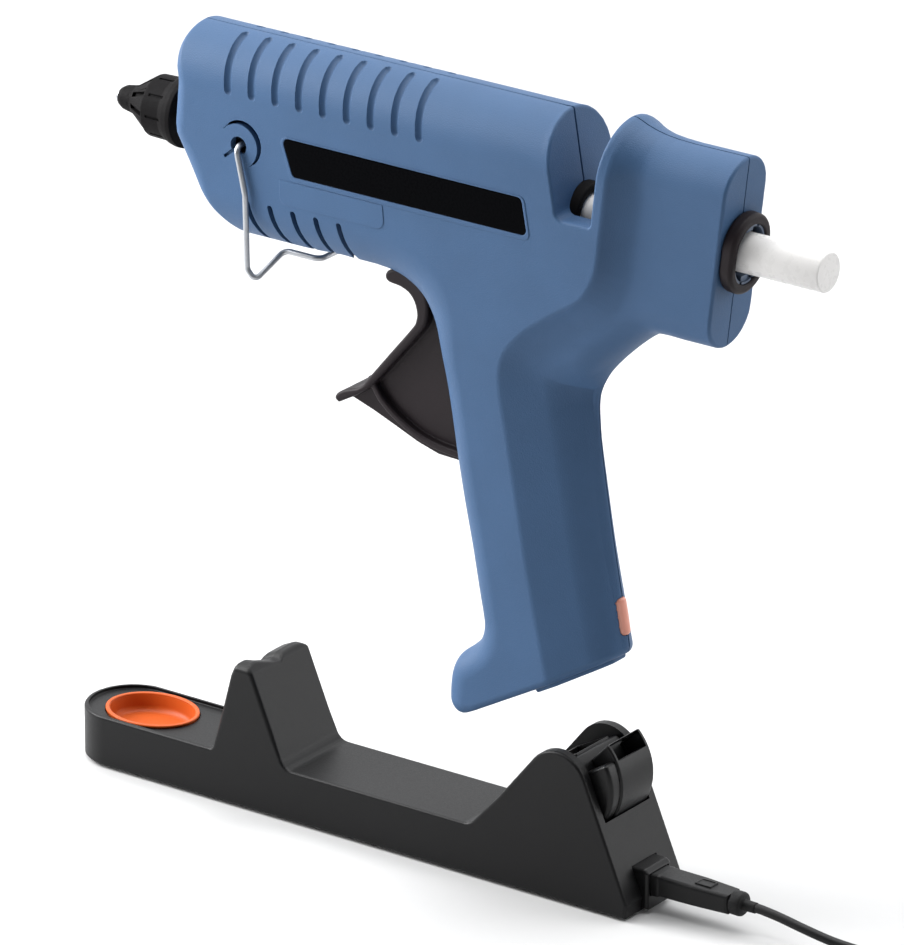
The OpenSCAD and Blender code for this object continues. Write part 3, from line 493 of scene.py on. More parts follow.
def shell(x, y, z, side):
    """One half of the housing. side is -1 for the near half and 1 for the far one."""
    a = np.abs(y)
    out = body(x, y, z)
    d = np.maximum(out, -out - 2.4)
    for px, pz in POSTS:
        c = np.sqrt((x - px) ** 2 + (z - pz) ** 2)
        d = np.minimum(d, np.maximum(c - 4.0, out + 1.2))
        if side > 0:
            d = np.maximum(d, -np.maximum(c - 2.9, 7.0 - a))
            d = np.maximum(d, 1.5 - c)
        else:
            d = np.maximum(d, -np.maximum(c - 1.36, a - 7.7))
    d = np.maximum(d, -vents(x, y, z, out))
    # pad at the bail's pivot: the gap round it, its hole and slit
    c = np.sqrt((x + 57.6) ** 2 + (z - 194) ** 2)
    gap = np.maximum(np.sqrt((x + 56.6) ** 2 + (z - 194.84) ** 2) - 6.55, 6.15 - c)
    d = np.maximum(d, -np.maximum(gap, 11.2 - a))
    d = np.maximum(d, -np.maximum(c - 2.6, 11.2 - a))
    u, v = (x + 60.9) * 0.77 + (z - 191.3) * 0.63, -(x + 60.9) * 0.63 + (z - 191.3) * 0.77
    d = np.maximum(d, -np.maximum(np.maximum(np.abs(u) - 1.9, np.abs(v) - 0.42), 13.4 - a))
    d = np.maximum(d, 0.86 - c)
    # label seat
    d = np.maximum(d, -np.maximum(poly(x, z, LABEL_SEAT), 14.0 - a))
    # trigger slot
    d = np.maximum(d, -np.maximum(poly(x, z, [(-44, 113.6), (13.8, 113.6), (15.4, 150), (11, 169.2), (-18.8, 169.2), (-44, 166)]), a - 8.9))
    # nozzle hole, stick channel, seats of the guides
    c = np.sqrt(y * y + (z - BC) ** 2)
    d = np.maximum(d, -np.maximum(c - 8.9, x + 76))
    d = np.maximum(d, -np.maximum(c - 6.4, 30 - x))
    d = np.maximum(d, -np.maximum(np.maximum(c - 8.55, 36 - x), x - 60))
    d = np.maximum(d, -np.maximum(c - 8.1, 84 - x))
    # lens window, contact opening
    d = np.maximum(d, -lens_box(x, y, z, 0.12))
    fu, fw = foot_uv(x, z)
    open_ = np.maximum(np.maximum(np.abs(fu - 35.6) - 11.75, np.maximum(body(x - 1.48, y, z + 8.0) + 2.45, a - 10.1)), np.abs(fw) - 3.1)
    open_ = np.minimum(open_, np.maximum(np.maximum(np.abs(fu - 35) - 8.1, a - 6.7), np.abs(fw) - 10.2))
    d = np.maximum(d, -open_)
    # parting gap
    return np.maximum(d, 0.19 + 0.13 * smooth(x, 38, 40) * smooth(-x, -48, -46) * smooth(z, 199, 203) - side * y)


near = solid("housing_half_near", lambda x, y, z: shell(x, y, z, -1), (-83, -15, 44), (98, 0, 224), 0.44, tris=190000)
piece(near, BLUE, "applicator", "blue_plastic", "housing_near")
far = solid("housing_half_far", lambda x, y, z: shell(x, y, z, 1), (-83, 0, 44), (98, 15, 224), 0.55, tris=130000)
piece(far, BLUE, "applicator", "blue_plastic", "housing_far")

for sgn, nm in ((-1, "near"), (1, "far")):
    lab = solid("label_plate_" + nm, lambda x, y, z: rmax(poly(x, z, LABEL_EDGE), np.abs(y - sgn * 14.3) - 0.27, 0.12),
                (-44, sgn * 14.3 - 0.4, 188.5), (38, sgn * 14.3 + 0.4, 200), 0.3, tris=12000)
    piece(lab, LABEL, "applicator", "label_film", "label_" + nm)

    def trim(x, y, z, sgn=sgn):
        flat = np.abs(sgn * y - 14.56) - 0.07
        rim = np.maximum(poly(x, z, BORDER), 0.12 - poly(x, z, LABEL_EDGE))
        return np.minimum(rmax(rim, flat, 0.05), rmax(np.maximum(poly(x, z, PANEL), 0.3 - poly(x, z, BORDER)), flat, 0.05))

    piece(solid("label_trim_" + nm, trim, (-48, sgn * 14.56 - 0.12, 180), (39, sgn * 14.56 + 0.12, 200.5), 0.22, tris=40000), BLUE, "applicator", "blue_plastic")


def lens(x, y, z):
    u, v = grip_uv(x, z)
    return rmax(np.maximum(lens_box(x, y, z), 17.7 - u), body(x, y, z) - 0.55, 0.9)


piece(solid("lens", lens, (50, -4, 74), (64, 4, 90), 0.25, tris=16000), LENS, "applicator", "lens_plastic", "indicator_lens")


def foot_plate(x, y, z):
    u, w = foot_uv(x, z)
    d = rbox(u - 35.6, y, w - 0.9, 11.6, 10.0, 2.1, 0.6)
    d = rmax(d, body(x - 1.48, y, z + 8.0) + 2.6, 0.8)
    d = np.minimum(d, rbox(u - 35, y, w - 6, 8, 6.6, 4, 0.5))
    for t in (-1, 1):
        d = np.maximum(d, -np.maximum(np.maximum(np.abs(u - 35) - 6, np.abs(y - t * 4.2) - 1.3), w - 0.4))
    return d


piece(solid("foot_contact_plate", foot_plate, (30, -11.6, 54), (60, 11.6, 80), 0.35, tris=24000), BLUE, "applicator", "blue_plastic", "contact_plate")

# ---------------------------------------------------------------- trigger
T_FACE = curve([(-29.6, 124.9), (-30.7, 125.7), (-30.3, 127.2), (-27.6, 129.0), (-24.0, 130.2), (-21.6, 131.7), (-19.8, 134.0), (-12.4, 143.0),
                (-5.2, 151.7), (-3.9, 154.2), (-3.7, 156.6), (-4.6, 159.5), (-6.5, 161.6), (-9.4, 162.7), (-12.7, 163.1), (-13.9, 164.2),
                (-13.6, 165.8), (-12.0, 166.9), (-9.6, 167.6), (-6.4, 167.4), (-3.2, 165.9), (-1.0, 163.7), (0.1, 160.8), (0.2, 157.0),
                (-0.6, 153.6), (-3.0, 150.2), (-9.8, 142.2), (-17.2, 133.6), (-19.9, 130.9), (-24.1, 128.0)], 3)
T_WEB = [(-27.6, 126.4), (-20, 123.9), (-13, 121.2), (-5.5, 118.2), (1.3, 116.3), (9.9, 115.9), (12.2, 116.6), (12.8, 150), (17, 168), (16.4, 177.6),
         (8.2, 177.6), (-1, 170), (-8, 166), (-2.2, 160), (-2.0, 154), (-11, 143), (-19, 133.4), (-22, 130.4)]
T_RIB = curve([(-19.4, 133.6), (-18.2, 131.6), (-15.7, 128.2), (-11.2, 124.7), (-4.4, 121.1), (3.1, 119.2), (12.0, 118.5)], 4)


def trigger(x, y, z):
    a = np.abs(y)
    d = rmax(poly(x, z, T_FACE), a - 8.3, 1.0)
    web = rmax(poly(x, z, T_WEB), a - 5.2, 0.5)
    d = rmin(d, web, 0.5)
    rib = rmax(np.abs(polyline(x, z, T_RIB)) - 1.0, a - 7.5, 0.7)
    d = rmin(d, rib, 0.4)
    c = np.sqrt((x - 12.25) ** 2 + (z - 173.5) ** 2)
    d = np.minimum(d, np.maximum(c - 4.4, a - 10.2))
    arm = np.maximum(poly(x, z, [(8.2, 173.5), (16.4, 173.5), (19.4, 197), (12.4, 197)]), np.abs(a - 9.3) - 0.9)
    ang = math.radians(9)
    u = (x - 15.4) * math.cos(ang) - (z - BC) * math.sin(ang)
    v = (x - 15.4) * math.sin(ang) + (z - BC) * math.cos(ang)
    d = np.minimum(d, arm)
    d = np.maximum(d, -np.maximum(np.abs(u) - 1.88, np.maximum(-2.6 - v, v - 8)))
    return np.maximum(d, 2.05 - c)


piece(solid("trigger_moulding", trigger, (-31.5, -10.4, 115), (20, 10.4, 198), 0.42, tris=70000), BROWN, "trigger", "trigger_plastic", "trigger")


# ---------------------------------------------------------------- turned and bent pieces
def revolve(name, profile, n=96, z0=BC, y0=0.0, sharp=28):
    """A turned piece about a line along X, from a closed (x, radius) outline."""
    m = len(profile)
    pts, faces = [], []
    for k in range(n):
        t = 2 * math.pi * k / n
        pts += [(x * MM, (y0 + r * math.sin(t)) * MM, (z0 + r * math.cos(t)) * MM) for x, r in profile]
    for k in range(n):
        k2 = (k + 1) % n
        for i in range(m):
            i2 = (i + 1) % m
            faces.append((k * m + i, k * m + i2, k2 * m + i2, k2 * m + i))
    return finish_mesh(name, pts, faces, sharp)


def finish_mesh(name, pts, faces, sharp=28):
    me = bpy.data.meshes.new(name)
    me.from_pydata(pts, [], faces)
    bm = bmesh.new()
    bm.from_mesh(me)
    bmesh.ops.remove_doubles(bm, verts=bm.verts, dist=1e-7)
    bmesh.ops.dissolve_degenerate(bm, edges=bm.edges, dist=1e-8)
    bmesh.ops.recalc_face_normals(bm, faces=bm.faces)
    bm.to_mesh(me)
    bm.free()
    me.polygons.foreach_set("use_smooth", np.ones(len(me.polygons), bool))
    me.set_sharp_from_angle(angle=math.radians(sharp))
    ob = bpy.data.objects.new(name, me)
    scene.collection.objects.link(ob)
    return ob


def tube(name, route, r, n=16):
    """A round bar along a route."""
    p = [np.array(q, float) for q in route]
    t = [p[min(i + 1, len(p) - 1)] - p[max(i - 1, 0)] for i in range(len(p))]
    t = [v / np.linalg.norm(v) for v in t]
    u = np.cross(t[0], (0.3, 0.2, 0.93))
    u /= np.linalg.norm(u)
    pts, faces = [], []
    for c, d in zip(p, t):
        u = u - d * (u @ d)
        u /= np.linalg.norm(u)
        v = np.cross(d, u)
        pts += [tuple((c + r * (math.cos(2 * math.pi * k / n) * u + math.sin(2 * math.pi * k / n) * v)) * MM) for k in range(n)]
    for i in range(len(p) - 1):
        faces += [(i * n + k, i * n + (k + 1) % n, (i + 1) * n + (k + 1) % n, (i + 1) * n + k) for k in range(n)]
    faces += [tuple(range(n))[::-1], tuple((len(p) - 1) * n + k for k in range(n))]
    return finish_mesh(name, pts, faces, 50)


def bends(pts, radius, n=7):
    """A route with its corners bent to a radius."""
    p = [np.array(q, float) for q in pts]
    out = [p[0]]
    for i in range(1, len(p) - 1):
        a, b = p[i - 1] - p[i], p[i + 1] - p[i]
        la, lb = np.linalg.norm(a), np.linalg.norm(b)
        a, b = a / la, b / lb
        ang = math.acos(max(-1, min(1, float(a @ b))))
        if ang > math.pi - 0.05:
            out.append(p[i])
            continue
        t = min(radius / math.tan(ang / 2), 0.48 * la, 0.48 * lb)
        r = t * math.tan(ang / 2)
        mid = (a + b) / np.linalg.norm(a + b)
        c = p[i] + mid * (r / math.sin(ang / 2))
        s0, s1 = p[i] + a * t - c, p[i] + b * t - c
        w = math.acos(max(-1, min(1, float(s0 @ s1) / (r * r))))
        out += [c + (s0 * math.sin(w * (1 - k / n)) + s1 * math.sin(w * k / n)) / math.sin(w) for k in range(n + 1)]
    return out + [p[-1]]


half = [(-57.6, -11.0, 194), (-57.6, -15.6, 194), (-54.3, -16.0, 181), (-53.8, -16.0, 160.2), (-51.3, -16.0, 157.5), (-48.6, -6.2, 163.7), (-36.8, -6.2, 163.7)]
route = half + [(x, -y, z) for x, y, z in half[::-1]]
piece(tube("bail_bent_wire", bends(route, 2.4), 0.8), WIRE, "bail", "wire_steel", "bail_wire")

piece(revolve("stick", [(-30, 0.0), (-30, 5.3), (-29.7, 5.5), (20, 5.5), (60, 5.5), (100, 5.5), (121.9, 5.5), (122.2, 5.38), (122.35, 5.15), (122.4, 0.0)], 72),
      GLUE, "glue_stick", "glue", "glue_stick")
piece(revolve("front_ring", fillet([(41.6, 5.9, 0.5), (48.3, 5.9, 0.8), (48.3, 8.5, 0.9), (41.6, 8.5, 0.3)], 4), 72), SILICONE, "applicator", "silicone", "front_guide_ring")


def bush(x, y, z):
    c = np.sqrt(y * y + (z - BC) ** 2)
    h = (x - 94.15) * 0.9927 - (z - BC) * 0.1204
    v = (x - 94.15) * 0.1204 + (z - BC) * 0.9927
    tall = np.sqrt(y * y + np.maximum(np.abs(v) - 2.3, 0) ** 2)
    d = rmax(tall - 8.95, np.abs(h - 1.95) - 2.05, 1.2)
    d = np.minimum(d, np.maximum(c - 8.0, np.abs(x - 91) - 5))
    mouth = np.sqrt(y * y + np.maximum(np.abs(v) - 1.9, 0) ** 2) - 6.55
    return np.maximum(rmax(d, -np.maximum(mouth, 0.2 - h), 0.5), 6.5 - c)


piece(solid("rear_bush", bush, (85.8, -10, 181.5), (99.8, 10, 205.5), 0.35, tris=40000), BROWN, "applicator", "silicone", "rear_guide_bush")


def clip(x, y, z):
    c = np.sqrt(y * y + (z - BC) ** 2)
    h = (x - 94.15) * 0.9927 - (z - BC) * 0.1204
    v = (x - 94.15) * 0.1204 + (z - BC) * 0.9927
    wall = np.sqrt(y * y + np.maximum(np.abs(v) - 1.9, 0) ** 2) - 6.2
    d = np.maximum(np.maximum(np.abs(wall) - 0.28, np.abs(h - 1.8) - 1.6), 5.75 - c)
    for t in (-1, 1):
        tab = np.maximum(np.maximum(np.abs(y) - 1.5, np.abs(t * v - 7.1) - 0.85), np.abs(h - 1.4) - 1.25)
        d = np.minimum(d, np.maximum(tab, 5.75 - c))
        d = np.maximum(d, -np.maximum(np.maximum(np.abs(y - 2.6 * t) - 0.5, np.abs(v) - 20), np.maximum(2.2 - h, 5.9 - np.abs(v))))
    return d


piece(solid("bush_clip", clip, (92, -7, 184.5), (99.4, 7, 202.4), 0.22, tris=24000), INNER, "applicator", "blue_plastic")

SLEEVE = fillet([(-107.7, 2.15, 0.1), (-107.7, 2.5, 0.4), (-106.2, 3.35, 0.8), (-102.4, 4.05, 2.0), (-97.0, 7.5, 2.5), (-95.2, 8.65, 0.8), (-89.4, 8.8, 0.6), (-87.6, 9.5, 0.6),
                 (-86.0, 9.85, 0.6), (-84.6, 9.8, 0.2), (-84.6, 5.1), (-95, 5.1), (-101, 2.75), (-105.4, 2.72)], 4)


def sleeve(x, y, z):
    c = np.sqrt(y * y + (z - BC) ** 2)
    d = poly(x, c, SLEEVE)
    n = 9
    th = np.arctan2(y, z - BC) + 0.21
    w = (th + math.pi / n) % (2 * math.pi / n) - math.pi / n
    t = np.abs(c * np.sin(w))
    # flats between the cone's ribs, each with a slot at its broad end
    flat = np.maximum(np.maximum(t - 0.35 - (x + 103) * 0.17, 3.9 + np.clip((x + 103.2) * 0.55, 0, 4.2) - c), np.maximum(-103.2 - x, x + 95.3))
    d = rmax(d, -flat, 0.3)
    slot = np.maximum(np.maximum(t - 0.7, 3.55 + np.clip((x + 102) * 0.40, 0, 4.0) - c), np.maximum(-101.6 - x, x + 95.2))
    d = np.maximum(d, -slot)
    # narrow grooves along the collar
    groove = np.maximum(np.maximum(t - 0.4, 8.35 - c), np.maximum(-93.6 - x, x + 88.6))
    return np.maximum(d, -groove)


piece(solid("heat_sleeve", sleeve, (-109.4, -10.3, 183), (-84.4, 10.3, 203.8), 0.28, tris=70000), SILICONE, "nozzle", "silicone", "nozzle_sleeve")
piece(revolve("nozzle_turned", [(-109.3, 0.7), (-109.3, 1.2), (-109.0, 1.5), (-107.7, 2.05), (-105.3, 2.6), (-101, 2.6), (-95, 5.0), (-84, 5.0), (-84, 3.9), (-69, 3.9), (-69, 2.0), (-100.4, 2.0), (-100.4, 0.7)], 64),
      STEEL, "nozzle", "brass", "nozzle")

# ---------------------------------------------------------------- station
EX, EZ, ER = 46.2, 34.0, 9.7
EAR = [(EX + ER * math.cos(math.radians(a)), EZ + ER * math.sin(math.radians(a))) for a in np.linspace(141, 23.4, 14)]
BASE = (fillet([(-125, 0.6), (-125, 15.15), (-69.3, 15.15, 1.6), (-63.0, 38.8, 2.2), (-61.3, 42.6, 1.6), (-58.4, 43.6, 1.2), (-55.7, 40.6, 1.6), (-45.0, 15.2, 4.0), (17.4, 15.2, 5.0),
                (27.0, 25.7)])
        + EAR + [(69.2, 4.6), (68.6, 0.6)])
POST_TOP = curve([(-16, 39.4), (-13.3, 41.0), (-11.8, 42.2), (-9, 42.6), (-5, 41.6), (-1.6, 40.6), (-0.6, 40.4), (0.4, 40.5), (1.2, 41.1), (2.2, 41.6), (4, 41.8), (9.6, 41.8), (12, 41.2), (13.3, 40.2), (16, 38)], 3)
RIM = fillet([(-122, -12.1), (-70.2, -12.1, 3.0), (-70.2, 12.1, 3.0), (-122, 12.1)])


def oval(x, y, g):
    k0 = np.sqrt(((x + 100) / 14.0) ** 2 + (y / 11.25) ** 2)
    k1 = np.sqrt(((x + 100) / 196.0) ** 2 + (y / 126.6) ** 2)
    return k0 * (k0 - 1) / np.maximum(k1, 1e-4) - g


def front_end(x, y, r):
    """Plan of the station's round end."""
    u = np.minimum(x + 107.1, 0)
    return np.sqrt(u * u + y * y) - r


def base(x, y, z):
    a = np.abs(y)
    p = poly(x, z, BASE)
    d = rmax(p, front_end(x, y, 13.3), 0.7 + 0.4 * smooth(z, 17, 24) * (x < -30))
    # sunken platform inside its rim
    plat = rmax(np.maximum(front_end(x, y, 12.1), poly(x, y, RIM)), 14.2 - z, 0.25)
    d = np.maximum(d, -plat)
    d = np.maximum(d, -np.maximum(oval(x, y, 0.2), 8 - z))
    # the post's top: two humps with a dip between them
    top = z - np.interp(y, [q[0] for q in POST_TOP], [q[1] for q in POST_TOP])
    top = top - 0.45 * np.minimum(x + 58.8, 0) * smooth(y, -10, -4)
    d = rmax(d, np.where((x > -75) & (x < -40), top * 0.8, z - 60), 0.5)
    # hollow underside
    d = np.maximum(d, -np.maximum(np.maximum(np.maximum(-84 - x, x - 62.8), a - 10.9), z - 12.4))
    d = np.maximum(d, -np.maximum(poly(x, z, [(-67.6, 12), (-63, 34), (-57.6, 34), (-48.4, 12)]), a - 10.9))
    d = np.maximum(d, -np.maximum(poly(x, z, [(25, 12), (27, 14.5), (61.6, 14.5), (62.4, 12)]), a - 10.9))
    # the head's pocket between the ears
    c = np.sqrt((x - EX) ** 2 + (z - EZ) ** 2)
    u, w = (x - EX) * CF + (z - EZ) * SF, -(x - EX) * SF + (z - EZ) * CF
    pk = np.minimum(c - 9.3, np.maximum(4.4 - w, np.maximum(-16 - u, u - 30)))
    th = np.degrees(np.arctan2(z - EZ, x - EX))
    sec = np.maximum(np.maximum(c - 16.4, 8 - c), (np.abs(th + 17) - 83) * 0.15)
    pk = np.minimum(pk, sec)
    d = np.maximum(d, -np.maximum(pk, a - 10.3))
    d = np.maximum(d, -np.maximum(c - 2.03, a - 12.3))
    # opening for the lead's socket
    d = np.maximum(d, -np.maximum(np.maximum(np.abs(y) - 5.7, 60 - x), np.maximum(1 - z, z - 12.7)))
    for t in (-7, 7):
        d = np.maximum(d, -np.maximum(np.sqrt((x + 100) ** 2 + (y - t) ** 2) - 4.05, z - 1.6))
    return d


piece(solid("station_shell", base, (-120.5, -13.4, 0.5), (69.4, 13.4, 44), 0.5, tris=140000), BLACK, "station", "black_plastic", "base_shell")


def tray(x, y, z):
    d = rmax(oval(x, y, -0.35), np.abs(z - 11.5) - 3.1, 0.6)
    d = np.minimum(d, rmax(oval(x, y, 0.0), np.abs(z - 14.62) - 0.4, 0.35))
    bowl = rmax(oval(x, y, -1.15) + (15 - z) * 0.14, 9.9 - z, 1.7)
    return rmax(d, -bowl, 0.35)


piece(solid("drip_bowl", tray, (-114.2, -11.5, 8.2), (-85.8, 11.5, 15.2), 0.3, tris=50000), ORANGE, "drip_tray", "orange_plastic", "drip_tray")


def head(x, y, z):
    c = np.sqrt((x - EX) ** 2 + (z - EZ) ** 2)
    th = np.degrees(np.arctan2(z - EZ, x - EX))
    u, w = (x - EX) * CF + (z - EZ) * SF, -(x - EX) * SF + (z - EZ) * CF

    def sector(r0, r1, a0, a1, y0, y1, e=0.5):
        t = (np.abs(th - (a0 + a1) / 2) - (a1 - a0) / 2) * np.radians(1.0) * np.maximum(c, 4)
        s = rmax(np.abs(c - (r0 + r1) / 2) - (r1 - r0) / 2, t, e)
        return rmax(s, np.abs(y - (y0 + y1) / 2) - (y1 - y0) / 2, e)

    d = rmax(rmax(c - 8.5, w - 5.0, 0.4), np.abs(y) - 9.8, 0.6)
    # cheek and hood, the hood open on top
    d = np.minimum(d, sector(6, 15.5, -76, 31, -9.6, -4.9, 1.2))
    hood = sector(6, 16, -76, 47, -5.4, 9.6, 0.6)
    well = np.maximum(np.maximum(np.abs(c - 11.3) - 3.0, np.abs(y - 2.2) - 5.8), -62 - th)
    mouth = np.maximum(np.maximum(np.abs(th - 36.8) - 8.6, np.abs(y - 2.1) * 4 - 4 * 6.4) * 0.2, 9.5 - c)
    d = np.minimum(d, np.maximum(np.maximum(hood, -well), -mouth))
    # raised frame of the contact opening
    fr = rbox(u, y, w - 4.0, 5.9, 7.5, 1.75, 0.25)
    d = np.minimum(d, fr)
    d = np.maximum(d, -np.maximum(np.maximum(np.abs(u) - 5.3, np.abs(y) - 6.9), 2.6 - w))
    return np.maximum(d, 2.05 - c)


piece(solid("contact_head_moulding", head, (36, -10, 18), (63, 10, 50.5), 0.35, tris=90000), HEAD, "contact_head", "black_plastic", "contact_head")


def leaves(x, y, z):
    """Two sprung contact strips, each with a raised nose."""
    u, w = (x - EX) * CF + (z - EZ) * SF, -(x - EX) * SF + (z - EZ) * CF
    nose = 1.3 * np.exp(-(u / 2.0) ** 2)
    strip = rmax(np.abs(w - 2.95 - nose) * 0.75 - 0.26, np.abs(u) - 4.6, 0.15)
    return rmax(strip, np.abs(np.abs(y) - 4.2) - 1.1, 0.15)


piece(solid("head_contact_leaves", leaves, (38, -5.6, 33), (52, 5.6, 43), 0.2, tris=20000), GILT, "contact_head", "gilt", "head_contacts")


def socket(x, y, z):
    d = rmax(poly(x, z, fillet([(61.2, 3), (61.2, 12.6), (69.6, 12.6, 1.0), (70.8, 11.6, 0.6), (70.8, 1.1), (64.4, 1.1), (64.4, 3)])), np.abs(y) - 5.6, 0.9)
    return np.maximum(d, -np.maximum(np.maximum(np.abs(y) - 4.4, 64 - x), np.abs(z - 8.0) - 3.3))


piece(solid("lead_socket", socket, (61, -7, 1), (71, 7, 14.7), 0.3, tris=24000), HEAD, "station", "black_plastic", "inlet_socket")


def connector(x, y, z):
    d = rbox(x - 68.85, y, z - 8.0, 4.55, 4.2, 3.1, 0.6)
    grip = rmax(poly(x, z, fillet([(71, 5.0), (84, 5.2, 10), (95, 5.3), (95, 10.9), (84, 11.1, 10), (71, 11.2)])),
                np.abs(y) - 4.1 + np.maximum(x - 84, 0) * 0.064, 1.1)
    d = rmin(d, grip, 0.3)
    d = np.minimum(d, rbox(x - 86.1, y, z - 10.75, 2.6, 1.9, 0.65, 0.2))
    d = np.maximum(d, -rbox(x - 86.1, y, z - 11.6, 2.1, 1.4, 0.45, 0.1))
    for t in (-1, 1):
        d = np.maximum(d, -np.maximum(np.sqrt((y - t * 2.4) ** 2 + (z - 8.1) ** 2) - 1.05, x - 70))
    return d


piece(solid("lead_plug_grip", connector, (63.6, -5.4, 3.8), (96.6, 5.4, 12.8), 0.3, tris=40000), BLACK, "station", "black_plastic", "lead_connector")
piece(revolve("strain_boot", fillet([(95.02, 1.35), (95.02, 3.4, 0.5), (98.4, 3.4, 0.9), (98.5, 1.6, 0.1), (102.2, 1.5, 0.1), (102.2, 1.35)], 3), 48, 8.1),
      RUBBER, "station", "rubber", "lead_boot")


def plug(x, y, z):
    d = rmax(poly(x, y, [(236, -5.4), (242, -8), (250, -14.6), (256, -17.2), (260, -17.6), (272, -17.6), (272, 17.6), (260, 17.6), (256, 17.2), (250, 14.6), (242, 8), (236, 5.4)]),
             poly(x, z, [(236, 2.6), (244, 1), (252, 0.1), (272, 0.1), (272, 13.7), (252, 13.7), (244, 12.8), (236, 11.2)]), 2.6)
    c = np.sqrt(y * y + (z - 6.9) ** 2)
    neck = np.maximum(np.maximum(c - 2.2 - np.clip((x - 222) / 14.2, 0, 1) * 1.4, 222 - x), x - 240)
    ring = np.abs((x - 223.4) % 2.8 - 1.4) - 0.9
    neck = np.maximum(neck, -np.maximum(np.maximum(ring, c - 9), np.maximum(1.7 + np.clip((x - 222) / 14.2, 0, 1) * 1.3 - c, np.abs(x - 229) - 5.4)))
    return rmin(d, neck, 1.2)


piece(solid("plug_body", plug, (221.8, -17.8, 0), (272.2, 17.8, 13.8), 0.45, tris=60000), BLACK, "station", "cord_rubber", "mains_plug")
for t, nm in ((-1, "a"), (1, "b")):
    pin = revolve("plug_pin_" + nm, [(271.9, 0.0), (271.9, 2.0), (280.5, 2.0), (280.7, 1.85), (281.4, 1.85), (281.6, 2.0), (290.1, 2.0), (290.8, 1.5), (291, 0.8), (291, 0.0)], 40, 6.9, t * 9.3)
    piece(pin, STEEL, "station", "steel", *(["plug_pins"] if t < 0 else []))


def tie(x, y, z):
    v = y + 19.6
    d = rmax(np.abs(x - 182) - 2.0, np.maximum(np.abs(v - 0.15) - 6.3, np.abs(z - 6.01) - 5.99), 0.25)
    return np.maximum(d, -np.maximum(np.abs(v - 0.15) - 5.5, np.abs(z - 6.02) - 5.38))


piece(solid("coil_tie", tie, (179.8, -26, 0), (184.2, -13, 12.1), 0.3, tris=16000), BLACK, "station", "black_plastic", "lead_tie")

# ---------------------------------------------------------------- lead
def cord_points():
    run = [(102, 0, 8.1), (104, 0, 8.09), (110, 0, 7.4), (118, 0.4, 5.8), (127, 1.8, 3.8), (138, 4.6, 2.2), (150, 8.4, 1.5), (162, 12.4, 1.6),
           (172, 14.8, 1.9), (182, 15.6, 2)]
    pts = [np.array(p) for p in curve(run, 4)]
    turns, pitch = 16, 2.65
    cx, cy = 182, -4
    for i in range(1, turns * 40 + 1):
        t = i / 40
        layer = min(3, int(t // 4))
        f = (t - 4 * layer) / 4 * 4
        pos = min(3.0, max(0.0, f - 0.5) * 3 / 3.0) if f < 3.5 else 3.0
        r = 19.6 - pitch * (pos if layer % 2 == 0 else 3 - pos)
        z = 2.0 + pitch * layer
        step = f - 3.6 if f > 3.6 else 0
        if layer < 3 and step > 0:
            z += pitch * step / 0.4
        th = math.pi / 2 - 2 * math.pi * t
        pts.append(np.array((cx + r * math.cos(th), cy + r * math.sin(th), z)))
    tail = [(182, 15.6, 10), (191, 14.6, 9.6), (200, 11, 8.6), (208, 5.6, 7.6), (215, 1.4, 7), (222, 0, 6.9), (232, 0, 6.9), (244, 0, 6.9)]
    pts += [np.array(p) for p in curve(tail, 4)[1:]]
    return pts


CORD_PTS = cord_points()
cd = bpy.data.curves.new("lead_cord", "CURVE")
cd.dimensions = "3D"
sp = cd.splines.new("POLY")
sp.points.add(len(CORD_PTS) - 1)
for a, b in zip(sp.points, CORD_PTS):
    a.co = (*(b * MM), 1)
cd.bevel_depth = 1.3 * MM
cd.bevel_resolution = 4
cd.use_fill_caps = True
cord = bpy.data.objects.new("lead_cord", cd)
scene.collection.objects.link(cord)
cd.materials.append(CORD)
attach(cord, "station")
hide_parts("lead_run", "lead_coil", "lead_tail")
CORD_LEN = float(sum(np.linalg.norm(b - a) for a, b in zip(CORD_PTS, CORD_PTS[1:]))) * MM
print("cord length", CORD_LEN)

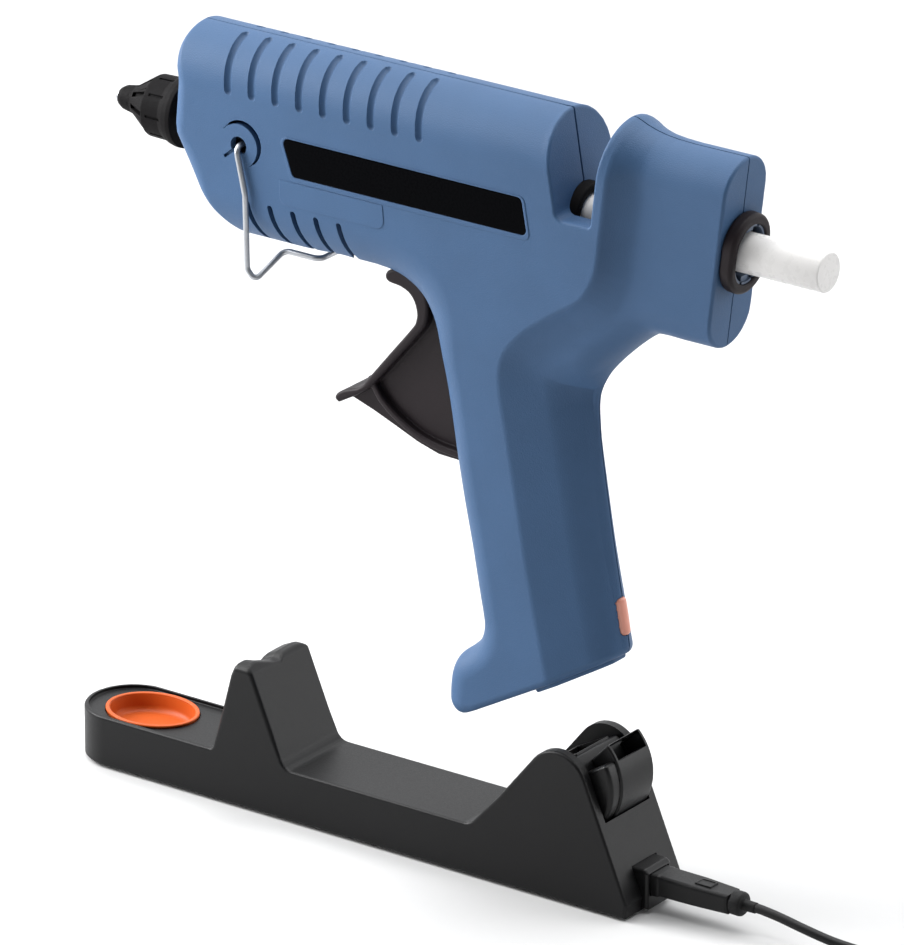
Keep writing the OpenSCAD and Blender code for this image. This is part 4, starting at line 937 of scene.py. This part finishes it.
# ---------------------------------------------------------------- stage
fm = bpy.data.meshes.new("floor")
fm.from_pydata([(-6, -6, 0), (6, -6, 0), (6, 6, 0), (-6, 6, 0)], [], [(0, 1, 2, 3)])
floor = bpy.data.objects.new("floor", fm)
scene.collection.objects.link(floor)
floor.location.z = -0.0002
fm.materials.append(plastic("floor_paper", (0.50, 0.50, 0.50), 0.01, (0.75, 0.85), 300.0, 0.02, 0.00005, 0.2, 3.0))

world = bpy.data.worlds.new("world")
scene.world = world
world.use_nodes = True
wn, wl = world.node_tree.nodes, world.node_tree.links
wc = wn.new("ShaderNodeTexCoord")
wd = wn.new("ShaderNodeVectorMath")
wd.operation = "DOT_PRODUCT"
wd.inputs[1].default_value = (-0.36, 0.90, 0.05)
wl.new(wc.outputs["Generated"], wd.inputs[0])
wr = wn.new("ShaderNodeMapRange")
wr.interpolation_type = "SMOOTHSTEP"
wr.inputs["From Min"].default_value, wr.inputs["From Max"].default_value = -0.70, 0.75
wr.inputs["To Min"].default_value, wr.inputs["To Max"].default_value = 0.03, 1.45
wl.new(wd.outputs["Value"], wr.inputs["Value"])
wl.new(wr.outputs["Result"], wn["Background"].inputs["Strength"])
wn["Background"].inputs["Color"].default_value = (0.985, 0.995, 1.01, 1.0)


def sun(name, frm, strength, angle):
    ld = bpy.data.lights.new(name, "SUN")
    ld.energy = strength
    ld.angle = math.radians(angle)
    ob = bpy.data.objects.new(name, ld)
    scene.collection.objects.link(ob)
    ob.rotation_mode = "QUATERNION"
    ob.rotation_quaternion = (-Vector(frm)).to_track_quat("-Z", "Y")
    return ob


def panel(name, loc, aim, size, power):
    ld = bpy.data.lights.new(name, "AREA")
    ld.shape, ld.size, ld.energy = "SQUARE", size, power
    ob = bpy.data.objects.new(name, ld)
    scene.collection.objects.link(ob)
    ob.location = loc
    ob.rotation_mode = "QUATERNION"
    ob.rotation_quaternion = (Vector(aim) - ob.location).to_track_quat("-Z", "Y")
    ob.visible_camera = False
    return ob


panel("key", (-0.60, -0.21, 0.45), (0.0, 0.0, 0.17), 0.40, 8.5)
panel("low", (-0.28, -0.32, 0.03), (0.0, 0.0, 0.12), 0.25, 1.6).visible_glossy = False
sun("top", (-0.10, 0.14, 1.0), 3.4, 60)
sun("side", (0.76, 0.60, 0.30), 1.0, 45)
scene.view_settings.view_transform = "Standard"
